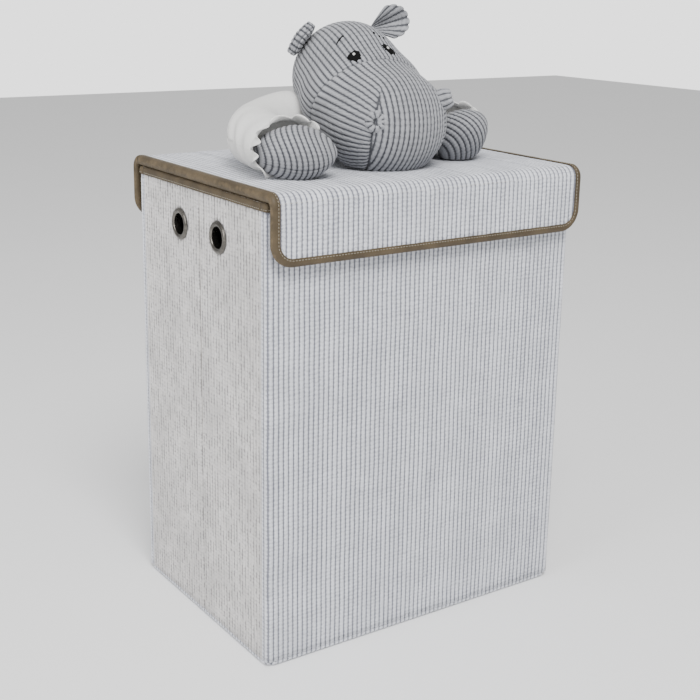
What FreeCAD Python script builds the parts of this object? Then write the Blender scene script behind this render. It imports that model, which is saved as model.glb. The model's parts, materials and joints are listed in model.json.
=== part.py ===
import FreeCAD, Part
import math
import os

# Foldable fabric laundry hamper with a padded lid and a soft toy sewn on the lid.
# Millimetres. Origin: bottom centre on the floor, +Z up, +X right, the front faces -Y.
# Every solid is made at its place in the rest pose (body erect, lid closed).

V = FreeCAD.Vector
os.makedirs("parts", exist_ok=True)

# ---- overall sizes
body_width = 400.0       # across the covers, X
body_depth = 284.0       # across the covers, Y
body_height = 499.0      # floor to the top of the bound rim

# ---- wall build-up
cover_t = 2.0            # corduroy
board_t = 3.0            # stiffening board
lining_t = 1.0           # inner cloth
wall_t = cover_t + board_t + lining_t
bind_t = 0.8             # binding tape
bind_h = 9.0             # leg of the rim binding
corner_r = 3.0           # outer vertical corners
tray_corner_r = 12.0     # bottom corners in plan

# ---- clearances
joint_gap = 0.3          # each side of a fold line
move_gap = 0.5           # between bodies that slide past each other

# ---- base
tray_t = 1.0
tray_hem_t = 3.0
base_board_t = 3.0
base_cloth_t = 0.5
base_t = base_board_t + 2 * base_cloth_t
base_z0 = tray_t + 0.2
wall_z0 = base_z0 + base_t + move_gap

# ---- eyelets, two in each side
eyelet_y = 43.0
eyelet_drop = 51.0       # rim top to the eyelet centre
eyelet_hole_r = 11.5
eyelet_barrel_t = 1.2
eyelet_flange_r = 17.5
eyelet_proud = 2.0
eyelet_lip = 1.2
washer_t = 0.8

# ---- lid and its two flaps
lid_side_over = 2.0      # lid edge beyond the body in X
lid_lining_t = 1.0
lid_board_t = 3.0
lid_wadding_t = 4.0
lid_bind_w = 9.0         # leg of the lid and flap bindings
flap_stand_off = 8.0     # body face to flap lining
flap_h = 73.0
flap_corner_r = 25.0
crease_room = 9.0        # how far a flap's board and lining stop below the crease
strip_t = 1.0

# ---- derived planes
half_w = body_width / 2
half_d = body_depth / 2
inner_x = half_w - wall_t
inner_y = half_d - wall_t
wall_z1 = body_height - bind_t
eyelet_z = body_height - eyelet_drop
fold_x = inner_x - bind_t                       # fold line plane, inner face of the binding
fold_room = base_t + 2 * move_gap               # where the tipped base stands
fold_y = inner_y - fold_room
eyelet_barrel_r = eyelet_hole_r + eyelet_barrel_t
lid_z0 = body_height + joint_gap
lid_board_z = lid_z0 + lid_lining_t
lid_wadding_z = lid_board_z + lid_board_t
lid_cover_z = lid_wadding_z + lid_wadding_t
lid_top = lid_cover_z + cover_t
lid_x = half_w + lid_side_over                  # outer face of the lid binding
flap_in = half_d + flap_stand_off               # lining face of a flap
flap_out = flap_in + wall_t                     # cover face of a flap
lid_y = flap_in - bind_t - move_gap             # front and rear edges of the lid slab
flap_top = lid_top - joint_gap
flap_z0 = flap_top - flap_h


def export(shape, name):
    solids = shape.Solids
    if len(solids) != 1 or not shape.isValid():
        raise ValueError("%s: %d solids, valid %s" % (name, len(solids), shape.isValid()))
    solids[0].exportStep("parts/%s.step" % name)


def box(x0, x1, y0, y1, z0, z1, sx=1, sy=1):
    """Box between two corners, mirrored in X or Y by the signs."""
    xa, xb = sorted((sx * x0, sx * x1))
    ya, yb = sorted((sy * y0, sy * y1))
    return Part.makeBox(xb - xa, yb - ya, z1 - z0, V(xa, ya, z0))


def join(*shapes):
    return shapes[0].fuse(list(shapes[1:])).removeSplitter()


def round_edges(shape, radius, test):
    edges = [e for e in shape.Edges if test(e)]
    return shape.makeFillet(radius, edges) if edges else shape


def vertical_at(x, y):
    def test(edge):
        a, b = edge.Vertexes[0].Point, edge.Vertexes[-1].Point
        near = abs(abs(a.x) - x) < 0.01 and abs(abs(a.y) - y) < 0.01
        return near and abs(a.x - b.x) < 0.01 and abs(a.y - b.y) < 0.01
    return test


# ---- front and back walls: flat boards, cloth turned round both corners to the fold lines

def channel(outer_x, outer_y, t, z0, z1, sy):
    """Sheet of thickness t, U-shaped in plan, that ends at the fold lines."""
    end = fold_y + joint_gap
    parts = [box(-outer_x, outer_x, outer_y - t, outer_y, z0, z1, 1, sy)]
    for sx in (-1, 1):
        parts.append(box(outer_x - t, outer_x, end, outer_y - t, z0, z1, sx, sy))
    return join(*parts)


def rim_channel(sy):
    """Binding over the top of a front or back wall and its two corner returns."""
    bar = body_height - bind_h
    out_x, out_y = half_w + bind_t, half_d + bind_t
    tape = out_x - fold_x
    skin = channel(out_x, out_y, tape, bar, body_height, sy)
    core = channel(half_w, half_d, wall_t, bar, wall_z1, sy)
    return skin.cut(core)


def end_wall(name, sy):
    cover = channel(half_w, half_d, cover_t, wall_z0, wall_z1, sy)
    cover = round_edges(cover, corner_r, vertical_at(half_w, half_d))
    board_x = half_w - cover_t - joint_gap
    board = box(-board_x, board_x, inner_y + lining_t, half_d - cover_t, wall_z0, wall_z1, 1, sy)
    lining = channel(inner_x + lining_t, inner_y + lining_t, lining_t, wall_z0, wall_z1, sy)
    export(cover, name + "_cover")
    export(board, name + "_board")
    export(lining, name + "_lining")
    export(rim_channel(sy), name + "_rim_binding")


# ---- side panels: four alike, each with one eyelet and its washer

def eyelet_ring(sx, sy):
    """Eyelet turned about its axis: domed flange outside, barrel, rolled lip inside."""
    depth = wall_t + washer_t
    r0, r1, r2 = eyelet_hole_r, eyelet_barrel_r, eyelet_flange_r
    lip_r = r1 + 1.8
    pts = [V(0, r2, 0), V(0, r1, 0), V(-depth, r1, 0), V(-depth, lip_r, 0),
           V(-depth - eyelet_lip, lip_r - 0.6, 0), V(-depth - eyelet_lip, r0 + 0.6, 0),
           V(-depth - 0.4, r0, 0), V(0.8, r0, 0)]
    edges = [Part.LineSegment(a, b).toShape() for a, b in zip(pts, pts[1:])]
    dome = Part.Arc(pts[-1], V(eyelet_proud, (r0 + r2) / 2, 0), pts[0])
    edges.append(dome.toShape())
    ring = Part.Face(Part.Wire(edges)).revolve(V(0, 0, 0), V(1, 0, 0), 360)
    ring = Part.Solid(ring) if ring.ShapeType == "Shell" else ring
    if sx < 0:
        ring.rotate(V(0, 0, 0), V(0, 0, 1), 180)
    ring.translate(V(sx * half_w, sy * eyelet_y, eyelet_z))
    return ring


def disc(x0, x1, radius, sx, sy):
    return Part.makeCylinder(radius, x1 - x0, V(sx * x0, sy * eyelet_y, eyelet_z), V(sx, 0, 0))


def side_panel(name, sx, sy):
    y0, y1 = joint_gap, fold_y - joint_gap
    bore = disc(inner_x - 10, half_w + 10, eyelet_barrel_r + 0.1, sx, sy)
    layers = (("cover", half_w - cover_t, half_w), ("board", inner_x + lining_t, half_w - cover_t),
              ("lining", inner_x, inner_x + lining_t))
    for layer, x0, x1 in layers:
        sheet = box(x0, x1, y0, y1, wall_z0, wall_z1, sx, sy)
        export(sheet.cut(bore), "%s_%s" % (name, layer))
    bar = body_height - bind_h
    tape = box(fold_x, half_w + bind_t, y0, y1, bar, body_height, sx, sy)
    core = box(inner_x, half_w, y0, y1, bar, wall_z1, sx, sy)
    export(tape.cut(core), name + "_rim_binding")
    export(eyelet_ring(sx, sy), name + "_eyelet")
    washer = disc(inner_x - washer_t, inner_x, eyelet_flange_r, sx, sy).cut(bore)
    export(washer, name + "_washer")


# ---- base: cloth tray sewn to the foot of the walls, loose covered plate on it

def rounded_slab(x, y, r, z0, z1):
    slab = box(-x, x, -y, y, z0, z1)
    return round_edges(slab, r, vertical_at(x, y))


def base():
    hem_z = wall_z0 - move_gap
    tray = rounded_slab(half_w, half_d, tray_corner_r, 0, hem_z)
    well = rounded_slab(half_w - tray_hem_t, half_d - tray_hem_t, tray_corner_r - tray_hem_t,
                        tray_t, hem_z)
    export(tray.cut(well), "bottom_cloth")
    px, py = inner_x - move_gap - 0.2, inner_y - move_gap
    plate = box(-px, px, -py, py, base_z0, base_z0 + base_t)
    c = base_cloth_t
    core = box(-px + c, px - c, -py + c, py - c, base_z0 + c, base_z0 + base_t - c)
    export(core, "base_board")
    export(plate.cut(core), "base_cloth")


# ---- lid slab

def lid():
    c = cover_t
    cov_x = lid_x - bind_t
    lin_x = lid_x - lid_bind_w
    export(box(-lin_x, lin_x, -lid_y, lid_y, lid_z0, lid_board_z), "lid_lining")
    core_x, core_y = cov_x - c, lid_y - c
    export(box(-core_x, core_x, -core_y, core_y, lid_board_z, lid_wadding_z), "lid_board")
    export(box(-core_x, core_x, -core_y, core_y, lid_wadding_z, lid_cover_z), "lid_wadding")
    cover = box(-cov_x, cov_x, -lid_y, lid_y, lid_board_z, lid_top)
    export(cover.cut(box(-core_x, core_x, -core_y, core_y, lid_board_z, lid_cover_z)), "lid_cover")
    for name, sx in (("left", -1), ("right", 1)):
        tape = box(lin_x, lid_x, -lid_y, lid_y, lid_z0, lid_top + bind_t, sx)
        core = box(0, cov_x, -lid_y, lid_y, lid_board_z, lid_top, sx)
        export(tape.cut(core), "lid_%s_binding" % name)


def flap_slab(inset, y0, y1, sy, z1=flap_top):
    """Flap outline with its lower corners rounded, drawn in by inset, from y0 to y1."""
    x, z0 = lid_x - inset, flap_z0 + inset
    r = flap_corner_r - inset
    k = r * (1 - math.sqrt(0.5))
    pts = [V(-x, 0, z1), V(-x, 0, z0 + r), V(-x + k, 0, z0 + k), V(-x + r, 0, z0),
           V(x - r, 0, z0), V(x - k, 0, z0 + k), V(x, 0, z0 + r), V(x, 0, z1)]
    edges = [Part.LineSegment(pts[0], pts[1]).toShape(),
             Part.Arc(pts[1], pts[2], pts[3]).toShape(),
             Part.LineSegment(pts[3], pts[4]).toShape(),
             Part.Arc(pts[4], pts[5], pts[6]).toShape(),
             Part.LineSegment(pts[6], pts[7]).toShape(),
             Part.LineSegment(pts[7], pts[0]).toShape()]
    slab = Part.Face(Part.Wire(edges)).extrude(V(0, y1 - y0, 0))
    slab.translate(V(0, y0 if sy > 0 else -y1, 0))
    return slab


def flap(name, sy):
    short = flap_top - crease_room
    layers = (("cover", flap_out - cover_t, flap_out, flap_top),
              ("board", flap_in + lining_t, flap_out - cover_t, short),
              ("lining", flap_in, flap_in + lining_t, short))
    for layer, y0, y1, z1 in layers:
        export(flap_slab(bind_t, y0, y1, sy, z1), "%s_%s" % (name, layer))
    tape = flap_slab(0, flap_in - bind_t, flap_out + bind_t, sy)
    tape = tape.cut(flap_slab(lid_bind_w, flap_in - bind_t, flap_out + bind_t, sy))
    export(tape.cut(flap_slab(bind_t, flap_in, flap_out, sy)), name + "_binding")


def hinge_strip():
    """Cloth strip from the back rim out to the crease that carries the lid."""
    x = half_w - tray_corner_r
    y0 = half_d + bind_t
    z1 = body_height - move_gap
    leg = box(-x, x, y0, y0 + strip_t, body_height - bind_h, z1)
    arm = box(-x, x, y0, flap_in - bind_t - joint_gap, z1 - strip_t, z1)
    export(join(leg, arm), "lid_hinge_strip")


# ---- soft toy, made of ovals. Each is given by its centre from the middle of the lid top,
# half length, radius and the direction of its axis

def oval(centre, half, radius, axis=(1, 0, 0)):
    """Ellipse turned about its axis, half long each way along it, with tiny flat ends."""
    steps, end = 24, 0.245
    angles = [math.pi - end - (math.pi - 2 * end) * i / steps for i in range(steps + 1)]
    pts = [V(half * math.cos(t), radius * math.sin(t), 0) for t in angles]
    side = Part.BSplineCurve()
    side.interpolate(pts)
    a, b = V(pts[0].x, 0, 0), V(pts[-1].x, 0, 0)
    edges = [Part.LineSegment(a, pts[0]).toShape(), side.toShape(),
             Part.LineSegment(pts[-1], b).toShape(), Part.LineSegment(b, a).toShape()]
    shape = Part.Face(Part.Wire(edges)).revolve(V(0, 0, 0), V(1, 0, 0), 360)
    if shape.Volume < 0:
        shape.reverse()
    shape.Placement = FreeCAD.Placement(
        V(centre[0], centre[1], centre[2] + lid_top), FreeCAD.Rotation(V(1, 0, 0), V(*axis)))
    return shape


def toy():
    below = Part.makeBox(600, 600, 200, V(-300, -300, lid_top - 200))
    skull = oval((-7, 7, 92), 60, 61, (0.07, 0, 1))
    cheeks = oval((-6, -22, 72), 72, 57)
    muzzle = oval((-3, -60, 49), 69, 60, (1, 0, -0.08))
    head = skull.fuse([cheeks, muzzle]).cut(below)
    export(head, "plush_head")
    torso = oval((0, 44, 44), 74, 49).cut(below).cut(head)
    export(torso, "plush_torso")
    arms = (("left", (-128, -87, 27), (-1, 0.47, 0), (-90, 24, 38), (1, 0.36, 0),
             (-137, -34, 33), (0.05, -1, 0)),
            ("right", (112, -50, 27), (1, 0.47, 0), (86, 32, 40), (1, -0.2, 0),
             (126, 4, 35), (0.1, -1, 0)))
    for side, paw_at, paw_axis, arm_at, arm_axis, cuff_at, cuff_axis in arms:
        paw = oval(paw_at, 44, 30, paw_axis).cut(below)
        export(paw, side + "_paw")
        sleeve = oval(arm_at, 58, 36, arm_axis).fuse(oval(cuff_at, 50, 31, cuff_axis))
        export(sleeve.cut(below).cut(head).cut(torso).cut(paw), side + "_sleeve")
    ears = (("left", (-61, 20, 134), 8, 21, (0.59, -0.59, -0.55)),
            ("right", (43, 0, 152), 11, 20, (-0.45, -0.85, 0.1)))
    for side, centre, half, radius, axis in ears:
        export(oval(centre, half, radius, axis).cut(head), side + "_ear")
    eyes = (("left", (-35, -48, 118)), ("right", (9, -48, 124)))
    for side, centre in eyes:
        export(oval(centre, 8, 8, (0, -1, 0.5)).cut(head), side + "_eye")


def main():
    end_wall("front", -1)
    end_wall("back", 1)
    for side, sx in (("left", -1), ("right", 1)):
        for place, sy in (("rear", 1), ("front", -1)):
            side_panel("%s_%s" % (side, place), sx, sy)
    base()
    lid()
    flap("front_flap", -1)
    flap("back_flap", 1)
    hinge_strip()
    toy()


main()
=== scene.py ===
import json
import math

import bmesh
import bpy
import numpy as np
from bpy.props import FloatProperty, FloatVectorProperty, IntProperty, PointerProperty
from mathutils import Matrix, Vector


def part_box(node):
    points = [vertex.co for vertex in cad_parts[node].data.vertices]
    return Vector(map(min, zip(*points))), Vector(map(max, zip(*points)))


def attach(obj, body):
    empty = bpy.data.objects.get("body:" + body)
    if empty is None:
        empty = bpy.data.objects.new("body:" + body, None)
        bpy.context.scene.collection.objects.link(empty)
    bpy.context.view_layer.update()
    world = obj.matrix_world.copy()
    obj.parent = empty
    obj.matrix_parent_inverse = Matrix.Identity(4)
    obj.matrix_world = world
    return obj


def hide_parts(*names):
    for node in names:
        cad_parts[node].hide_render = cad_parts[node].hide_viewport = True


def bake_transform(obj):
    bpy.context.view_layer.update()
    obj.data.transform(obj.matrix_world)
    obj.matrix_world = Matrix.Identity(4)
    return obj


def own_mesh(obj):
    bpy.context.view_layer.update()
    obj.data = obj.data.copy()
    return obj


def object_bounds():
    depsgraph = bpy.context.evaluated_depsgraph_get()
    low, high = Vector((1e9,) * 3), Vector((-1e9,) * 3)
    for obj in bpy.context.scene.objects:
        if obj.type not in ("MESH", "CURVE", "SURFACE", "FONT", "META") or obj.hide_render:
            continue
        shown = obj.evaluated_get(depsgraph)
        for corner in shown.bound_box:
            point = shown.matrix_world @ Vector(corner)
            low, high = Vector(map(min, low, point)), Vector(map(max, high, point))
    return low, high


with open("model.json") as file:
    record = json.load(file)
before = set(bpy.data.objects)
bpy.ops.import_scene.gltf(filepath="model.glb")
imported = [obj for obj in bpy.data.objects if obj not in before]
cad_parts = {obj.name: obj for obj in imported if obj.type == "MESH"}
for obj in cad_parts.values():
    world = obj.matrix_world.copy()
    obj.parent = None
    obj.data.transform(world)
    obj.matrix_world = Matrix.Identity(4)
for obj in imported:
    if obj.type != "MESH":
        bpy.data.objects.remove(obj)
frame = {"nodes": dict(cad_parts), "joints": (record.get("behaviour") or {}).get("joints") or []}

bl_info = {
    "name": "Folding laundry hamper",
    "version": (1, 0, 0),
    "blender": (4, 5, 0),
    "location": "View3D > Sidebar > Hamper",
    "description": "Corduroy laundry hamper with a bound lid, eyelets and a soft toy on top",
    "category": "Object",
}

CAD_BOX = [list(corner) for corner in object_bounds()]
MM = 0.001
RIB_STOPS = (0.0, 0.09, 0.25, 0.5, 0.75, 0.91)     # where the mesh has points across a rib


# ---- sizes and colours ------------------------------------------------------------------

def length(name, text, default):
    return FloatProperty(name=name, description=text, default=default * MM, unit="LENGTH",
                         precision=4)


def colour(name, text, default):
    return FloatVectorProperty(name=name, description=text, default=default, size=3,
                               subtype="COLOR", min=0.0, max=1.0)


class ClothSettings(bpy.types.PropertyGroup):
    wale: length("Wale", "Width of one corduroy rib on the hamper", 6.0)
    rib: length("Rib height", "Height of a rib above its groove", 1.1)
    cloth: length("Cloth", "Thickness of the covers without their ribs", 0.7)
    stitch: length("Stitch", "Length of one stitch", 2.3)
    stitch_gap: length("Stitch gap", "Gap between two stitches", 1.3)
    thread: length("Thread", "Radius of the sewing thread", 0.36)
    tape: length("Tape", "Thickness of the binding tape", 0.8)


class ToySettings(bpy.types.PropertyGroup):
    wale: length("Toy wale", "Width of one rib on the toy", 5.6)
    rib: length("Toy rib height", "Height of a rib on the toy", 1.35)
    across: IntProperty(name="Head mesh", description="Points round the head", default=330,
                        min=60, max=400)


class ColourSettings(bpy.types.PropertyGroup):
    cord: colour("Corduroy", "Front and lid corduroy", (0.70, 0.715, 0.765))
    # groove: painted shade between the ribs of the front and lid
    groove: colour("Groove", "Between the ribs of the front and lid", (0.15, 0.155, 0.19))
    side: colour("Side cloth", "Corduroy of the side panels", (0.64, 0.62, 0.61))
    # side groove: painted shade between the ribs of the sides
    side_groove_shade: colour("Side groove", "Between the ribs of the sides", (0.2, 0.195, 0.195))
    toy: colour("Toy corduroy", "Head, ears and paws", (0.33, 0.335, 0.355))
    # toy groove: painted shade between the ribs of the toy
    toy_groove_shade: colour("Toy groove", "Between the ribs of the toy", (0.05, 0.052, 0.06))
    cotton: colour("Cotton", "Sleeves and body of the toy", (0.76, 0.755, 0.735))
    tape: colour("Binding", "Imitation leather binding", (0.072, 0.053, 0.030))
    thread: colour("Thread", "Stitches on the binding", (0.34, 0.31, 0.25))
    metal: colour("Eyelets", "Plated metal of the eyelets", (0.16, 0.15, 0.135))
    lining: colour("Lining", "Plain cloth inside", (0.36, 0.35, 0.34))
    board: colour("Board", "Stiffening boards", (0.26, 0.225, 0.175))


class StageSettings(bpy.types.PropertyGroup):
    lens: FloatProperty(name="Lens", description="Focal length of the camera in mm",
                        default=64.05, min=10, max=300)
    shift: FloatProperty(name="Shift", description="Upward shift of the lens",
                         default=-0.0571, min=-0.2, max=0.2)
    turn: FloatProperty(name="Turn", description="How far round to the left the camera stands",
                        default=math.radians(-34.459), subtype="ANGLE")
    pitch: FloatProperty(name="Pitch", description="How far the camera looks down",
                         default=math.radians(14.992), subtype="ANGLE")
    roll: FloatProperty(name="Roll", description="Lean of the camera",
                        default=math.radians(0.953), subtype="ANGLE")
    away: FloatProperty(name="Distance", description="From the camera to the hamper",
                        default=1.456, unit="LENGTH")
    aim: FloatProperty(name="Aim height", description="Height that the camera looks at",
                       default=0.3333, unit="LENGTH")
    floor: colour("Floor", "Plain floor", (0.93, 0.93, 0.93))
    sky: FloatProperty(name="Sky", description="Brightness of the even light all round",
                       default=0.75, min=0)
    key: FloatProperty(name="Key light", description="Power of the main light in watts",
                       default=125.0, min=0)
    fill: FloatProperty(name="Fill light", description="Power of the fill light in watts",
                        default=30.0, min=0)


def settings(kind):
    return getattr(bpy.context.scene, "hamper_" + kind)


# ---- shading ----------------------------------------------------------------------------

class Sock:
    """A node's output that takes part in sums: 1 - mask * 0.4 adds the Math nodes it needs."""

    def __init__(self, nodes, out):
        self.nodes, self.out = nodes, out

    def _sum(self, operation, *terms):
        return self.nodes.node("Math", {"operation": operation}, dict(enumerate(terms)))

    def _pair(operation, flip=False):
        def term(self, other):
            return self._sum(operation, *((other, self) if flip else (self, other)))
        return term

    __add__ = __radd__ = _pair("ADD")
    __mul__ = __rmul__ = _pair("MULTIPLY")
    __sub__, __rsub__ = _pair("SUBTRACT"), _pair("SUBTRACT", True)
    __truediv__, __pow__ = _pair("DIVIDE"), _pair("POWER")

    def sine(self):
        return self._sum("SINE", self)

    def fraction(self):
        return self._sum("FRACT", self)

    def size(self):
        return self._sum("ABSOLUTE", self)

    def within(self, low, high):
        """0 below low, 1 above high, smooth between them."""
        return self.nodes.node("MapRange", {"interpolation_type": "SMOOTHSTEP"},
                               {"Value": self, "From Min": low, "From Max": high})


def feed(tree, socket, value):
    if isinstance(value, Sock):
        tree.links.new(value.out, socket)
    elif hasattr(socket.default_value, "__len__") and len(socket.default_value) == 4:
        socket.default_value = (*value, 1.0)[:4]
    else:
        socket.default_value = value


class Nodes:
    """The node tree of a material or of the world."""

    def __init__(self, tree):
        self.tree = tree

    def node(self, kind, setup=None, inputs=None, out=0):
        node = self.tree.nodes.new("ShaderNode" + kind)
        for key, value in (setup or {}).items():
            if key == "stops":
                ramp = node.color_ramp.elements
                while len(ramp) < len(value):
                    ramp.new(0.5)
                for element, (place, shade) in zip(ramp, value):
                    element.position, element.color = place, (*shade, 1.0)
            else:
                setattr(node, key, value)
        for key, value in (inputs or {}).items():
            feed(self.tree, node.inputs[key], value)
        return Sock(self, node.outputs[out])


class Finish(Nodes):
    """A material and the nodes that feed its shader."""

    def __init__(self, name, rough=0.9, sheen=0.0, gloss=0.5):
        self.material = bpy.data.materials.new(name)
        self.material.use_nodes = True
        super().__init__(self.material.node_tree)
        self.shader = self.tree.nodes["Principled BSDF"]
        for key, value in (("Roughness", rough), ("Sheen Weight", sheen),
                           ("Specular IOR Level", gloss)):
            self.shader.inputs[key].default_value = value

    def value(self, name):
        return self.node("Attribute", {"attribute_name": name}, out=2)

    def place(self):
        return self.node("Attribute", {"attribute_name": "rest"}, out=1)

    def noise(self, where, scale, detail=3.0, rough=0.55, stretch=None):
        if stretch:
            where = self.node("VectorMath", {"operation": "MULTIPLY"}, {0: where, 1: stretch})
        return self.node("TexNoise", None, {"Vector": where, "Scale": scale, "Detail": detail,
                                            "Roughness": rough})

    def mix(self, factor, a, b, blend="MIX"):
        return self.node("Mix", {"data_type": "RGBA", "blend_type": blend},
                         {0: factor, 6: a, 7: b}, out=2)

    def paint(self, base, rough=None, height=None, depth=0.0005, metallic=None, strength=1.0):
        feed(self.tree, self.shader.inputs["Base Color"], base)
        if rough is not None:
            feed(self.tree, self.shader.inputs["Roughness"], rough)
        if metallic is not None:
            feed(self.tree, self.shader.inputs["Metallic"], metallic)
        if height is not None:
            bump = self.node("Bump", None, {"Height": height, "Distance": depth,
                                            "Strength": strength})
            feed(self.tree, self.shader.inputs["Normal"], bump)
        return self.material


def shade(tone, factor):
    return tuple(min(1.0, c * factor) for c in tone)


def corduroy(name, tone, groove, wale=None, broken=0.0, nap=0.07):
    """Ribbed pile cloth: grooves in painted shade, knotted crests, cross marks with painted shade
    in them and blotches in the nap.

    broken is how far the grooves close up into dashes, nap how much the pile's tone shifts.
    """
    f = Finish(name, 0.92, 0.2, 0.15)
    at, crest, along = f.place(), f.value("crest"), f.value("along")
    if wale:
        # With a wale, the crest, and with it the painted shade of the grooves, comes from the
        # across coordinate.
        crest = crest * (1 - ((f.value("across") / wale).fraction() * 2 - 1).size() ** 2.0)
    blotch = f.noise(at, 22.0, 5.0, 0.62).within(0.34, 0.68)
    brushed = f.noise(at, 75.0, 4.0, 0.65, (1.0, 1.0, 0.45)).within(0.36, 0.68)
    pile = f.noise(at, 1000.0, 3.0, 0.65)
    fleck = f.noise(at, 330.0, 2.0, 0.6)
    knot = (along * 1360.0 + f.noise(at, 170.0, 2.0) * 9.0).sine() * 0.5 + 0.5
    dash = f.noise(at, 210.0, 2.0, 0.6, (1.0, 1.0, 0.4)).within(0.42, 0.6)
    # edge: where the crest colour gives way to the groove colour, the painted shade between the
    # ribs
    edge = (crest + (pile - 0.5) * 0.3 + (knot - 0.5) * 0.22 + dash * broken).within(0.2, 0.92)
    lit = f.mix(blotch, shade(tone, 1 - nap), shade(tone, 1 + nap))
    lit = f.mix(brushed, f.mix(1.0, lit, (1 - nap, 1 - nap, 1 - nap), "MULTIPLY"), lit)
    lit = f.mix(fleck.within(0.35, 0.75) * 0.5, lit, shade(tone, 0.8))
    base = f.mix(edge, groove, lit)
    # notch: painted shade in the cross notches of the ribs, which also dip in the bump
    notch = (1 - knot) ** 5 * f.noise(at, 130.0, 3.0).within(0.35, 0.6)
    base = f.mix(notch * 0.4, base, shade(tone, 0.5))
    height = crest * 0.5 + pile * 0.45 + notch * -0.45 + fleck * 0.35
    return f.paint(base, 0.86 + blotch * 0.1, height, 0.0008, strength=0.8)


def leather(name, tone):
    f = Finish(name, 0.5, 0.0, 0.28)
    at, edge = f.place(), f.value("crest")
    grain = f.node("TexVoronoi", {"feature": "SMOOTH_F1"}, {"Vector": at, "Scale": 950.0})
    fold = f.noise(at, 160.0, 3.0, 0.6)
    cloud = f.noise(at, 40.0, 3.0, 0.55)
    base = f.mix(cloud.within(0.3, 0.7), shade(tone, 0.78), shade(tone, 1.3))
    # Painted highlight in patches along the tape's rounded edge (the crest mark), mixed with the
    # fold noise.
    base = f.mix((edge * fold).within(0.35, 0.62) * 0.55, base, shade(tone, 2.1))
    base = f.mix(grain.within(0.5, 0.9) * 0.5, base, shade(tone, 0.6))
    return f.paint(base, 0.46 + fold * 0.22, fold * 0.8 - grain * 0.5, 0.0006, strength=0.7)


def thread(name, tone):
    f = Finish(name, 0.85, 0.0, 0.1)
    at, along = f.place(), f.value("along")
    ply = (along * 5200.0).sine() * 0.5 + 0.5
    base = f.mix(ply * 0.5 + f.noise(at, 500.0) * 0.4, shade(tone, 0.7), shade(tone, 1.15))
    return f.paint(base, None, ply, 0.0002)


def plain_weave(name, tone, count=1100.0, soft=0.9):
    """Plain woven cloth: over and under threads, slubs and a faint change of tone."""
    f = Finish(name, soft, 0.12, 0.15)
    at = f.place()
    warp = (f.value("along") * (2 * count)).sine()
    weft = (f.value("across") * (2 * count)).sine()
    knot = warp * weft * 0.5 + 0.5
    slub = f.noise(at, 420.0, 3.0, 0.6)
    cloud = f.noise(at, 18.0, 3.0, 0.5)
    base = f.mix(knot * 0.7 + slub * 0.3, shade(tone, 0.8), shade(tone, 1.1))
    base = f.mix(cloud.within(0.35, 0.7) * 0.3, base, shade(tone, 0.86))
    return f.paint(base, None, knot + slub * 0.7, 0.0003, strength=0.6)


def plated_metal(name, tone):
    f = Finish(name, 0.24)
    at = f.node("TexCoord", None, None, out=3)
    haze = f.noise(at, 90.0, 4.0, 0.6)
    scratch = f.noise(at, 300.0, 3.0, 0.7, (1.0, 6.0, 1.0))
    base = f.mix(haze.within(0.35, 0.7), shade(tone, 0.62), shade(tone, 1.25))
    return f.paint(base, 0.16 + haze * 0.2, scratch, 0.0001, 1.0 - haze * 0.06, 0.4)


def chipboard(name, tone):
    f = Finish(name, 0.85)
    at = f.node("TexCoord", None, None, out=3)
    chip = f.node("TexVoronoi", None, {"Vector": at, "Scale": 600.0})
    fibre = f.noise(at, 240.0, 4.0, 0.7)
    base = f.mix(chip, shade(tone, 0.7), shade(tone, 1.2))
    base = f.mix(fibre.within(0.55, 0.7) * 0.6, base, shade(tone, 1.6))
    return f.paint(base, 0.8 + fibre * 0.15, fibre, 0.0003)


FINISHES = {}


def finish(kind):
    """The named material, made on first use."""
    if kind not in FINISHES:
        c = settings("colour")
        make = {
            "corduroy": lambda: corduroy("Corduroy", c.cord, c.groove),
            "side_cloth": lambda: corduroy("Side corduroy", c.side, c.side_groove_shade, None, 0.55,
                                           0.11),
            "toy_corduroy": lambda: corduroy("Toy corduroy", c.toy, c.toy_groove_shade,
                                             settings("toy").wale),
            "binding": lambda: leather("Binding tape", c.tape),
            "thread": lambda: thread("Sewing thread", c.thread),
            "eye_thread": lambda: thread("Black thread", (0.004, 0.004, 0.004)),
            "shine_thread": lambda: thread("White thread", (0.6, 0.6, 0.58)),
            "lining": lambda: plain_weave("Lining", c.lining),
            "toy_cotton": lambda: plain_weave("Cotton", c.cotton, 1500.0, 0.85),
            "eyelet_metal": lambda: plated_metal("Plated metal", c.metal),
            "board": lambda: chipboard("Chipboard", c.board),
            "wadding": lambda: plain_weave("Wadding", (0.5, 0.5, 0.48), 300.0, 0.95),
        }
        FINISHES[kind] = make[kind]()
    return FINISHES[kind]


# ---- mesh work --------------------------------------------------------------------------

def unit(a):
    return a / np.maximum(np.linalg.norm(a, axis=-1, keepdims=True), 1e-12)


def ripple(x, y, seed, scale=1.0, waves=7):
    """Smooth repeatable unevenness, about -1 to 1, over two coordinates in metres."""
    rng = np.random.default_rng(seed)
    total = np.zeros(np.broadcast(x, y).shape)
    for _ in range(waves):
        a, b = rng.normal(0, scale, 2)
        total = total + np.sin(a * x + b * y + rng.uniform(0, 6.28))
    return total / math.sqrt(waves * 2.0)


def lengths(P):
    """Distance along a line of points at each of them."""
    return np.concatenate([[0], np.cumsum(np.linalg.norm(np.diff(P, axis=0), axis=1))])


def grid_normals(P):
    return unit(np.cross(np.gradient(P, axis=0), np.gradient(P, axis=1)))


def rib(across, wale):
    """Crest of the ribs, 0 in a groove and 1 on top, for cloth coordinates in metres."""
    phase = across / wale
    return 1.0 - np.abs(2.0 * (phase - np.floor(phase)) - 1.0) ** 2.8


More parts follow.
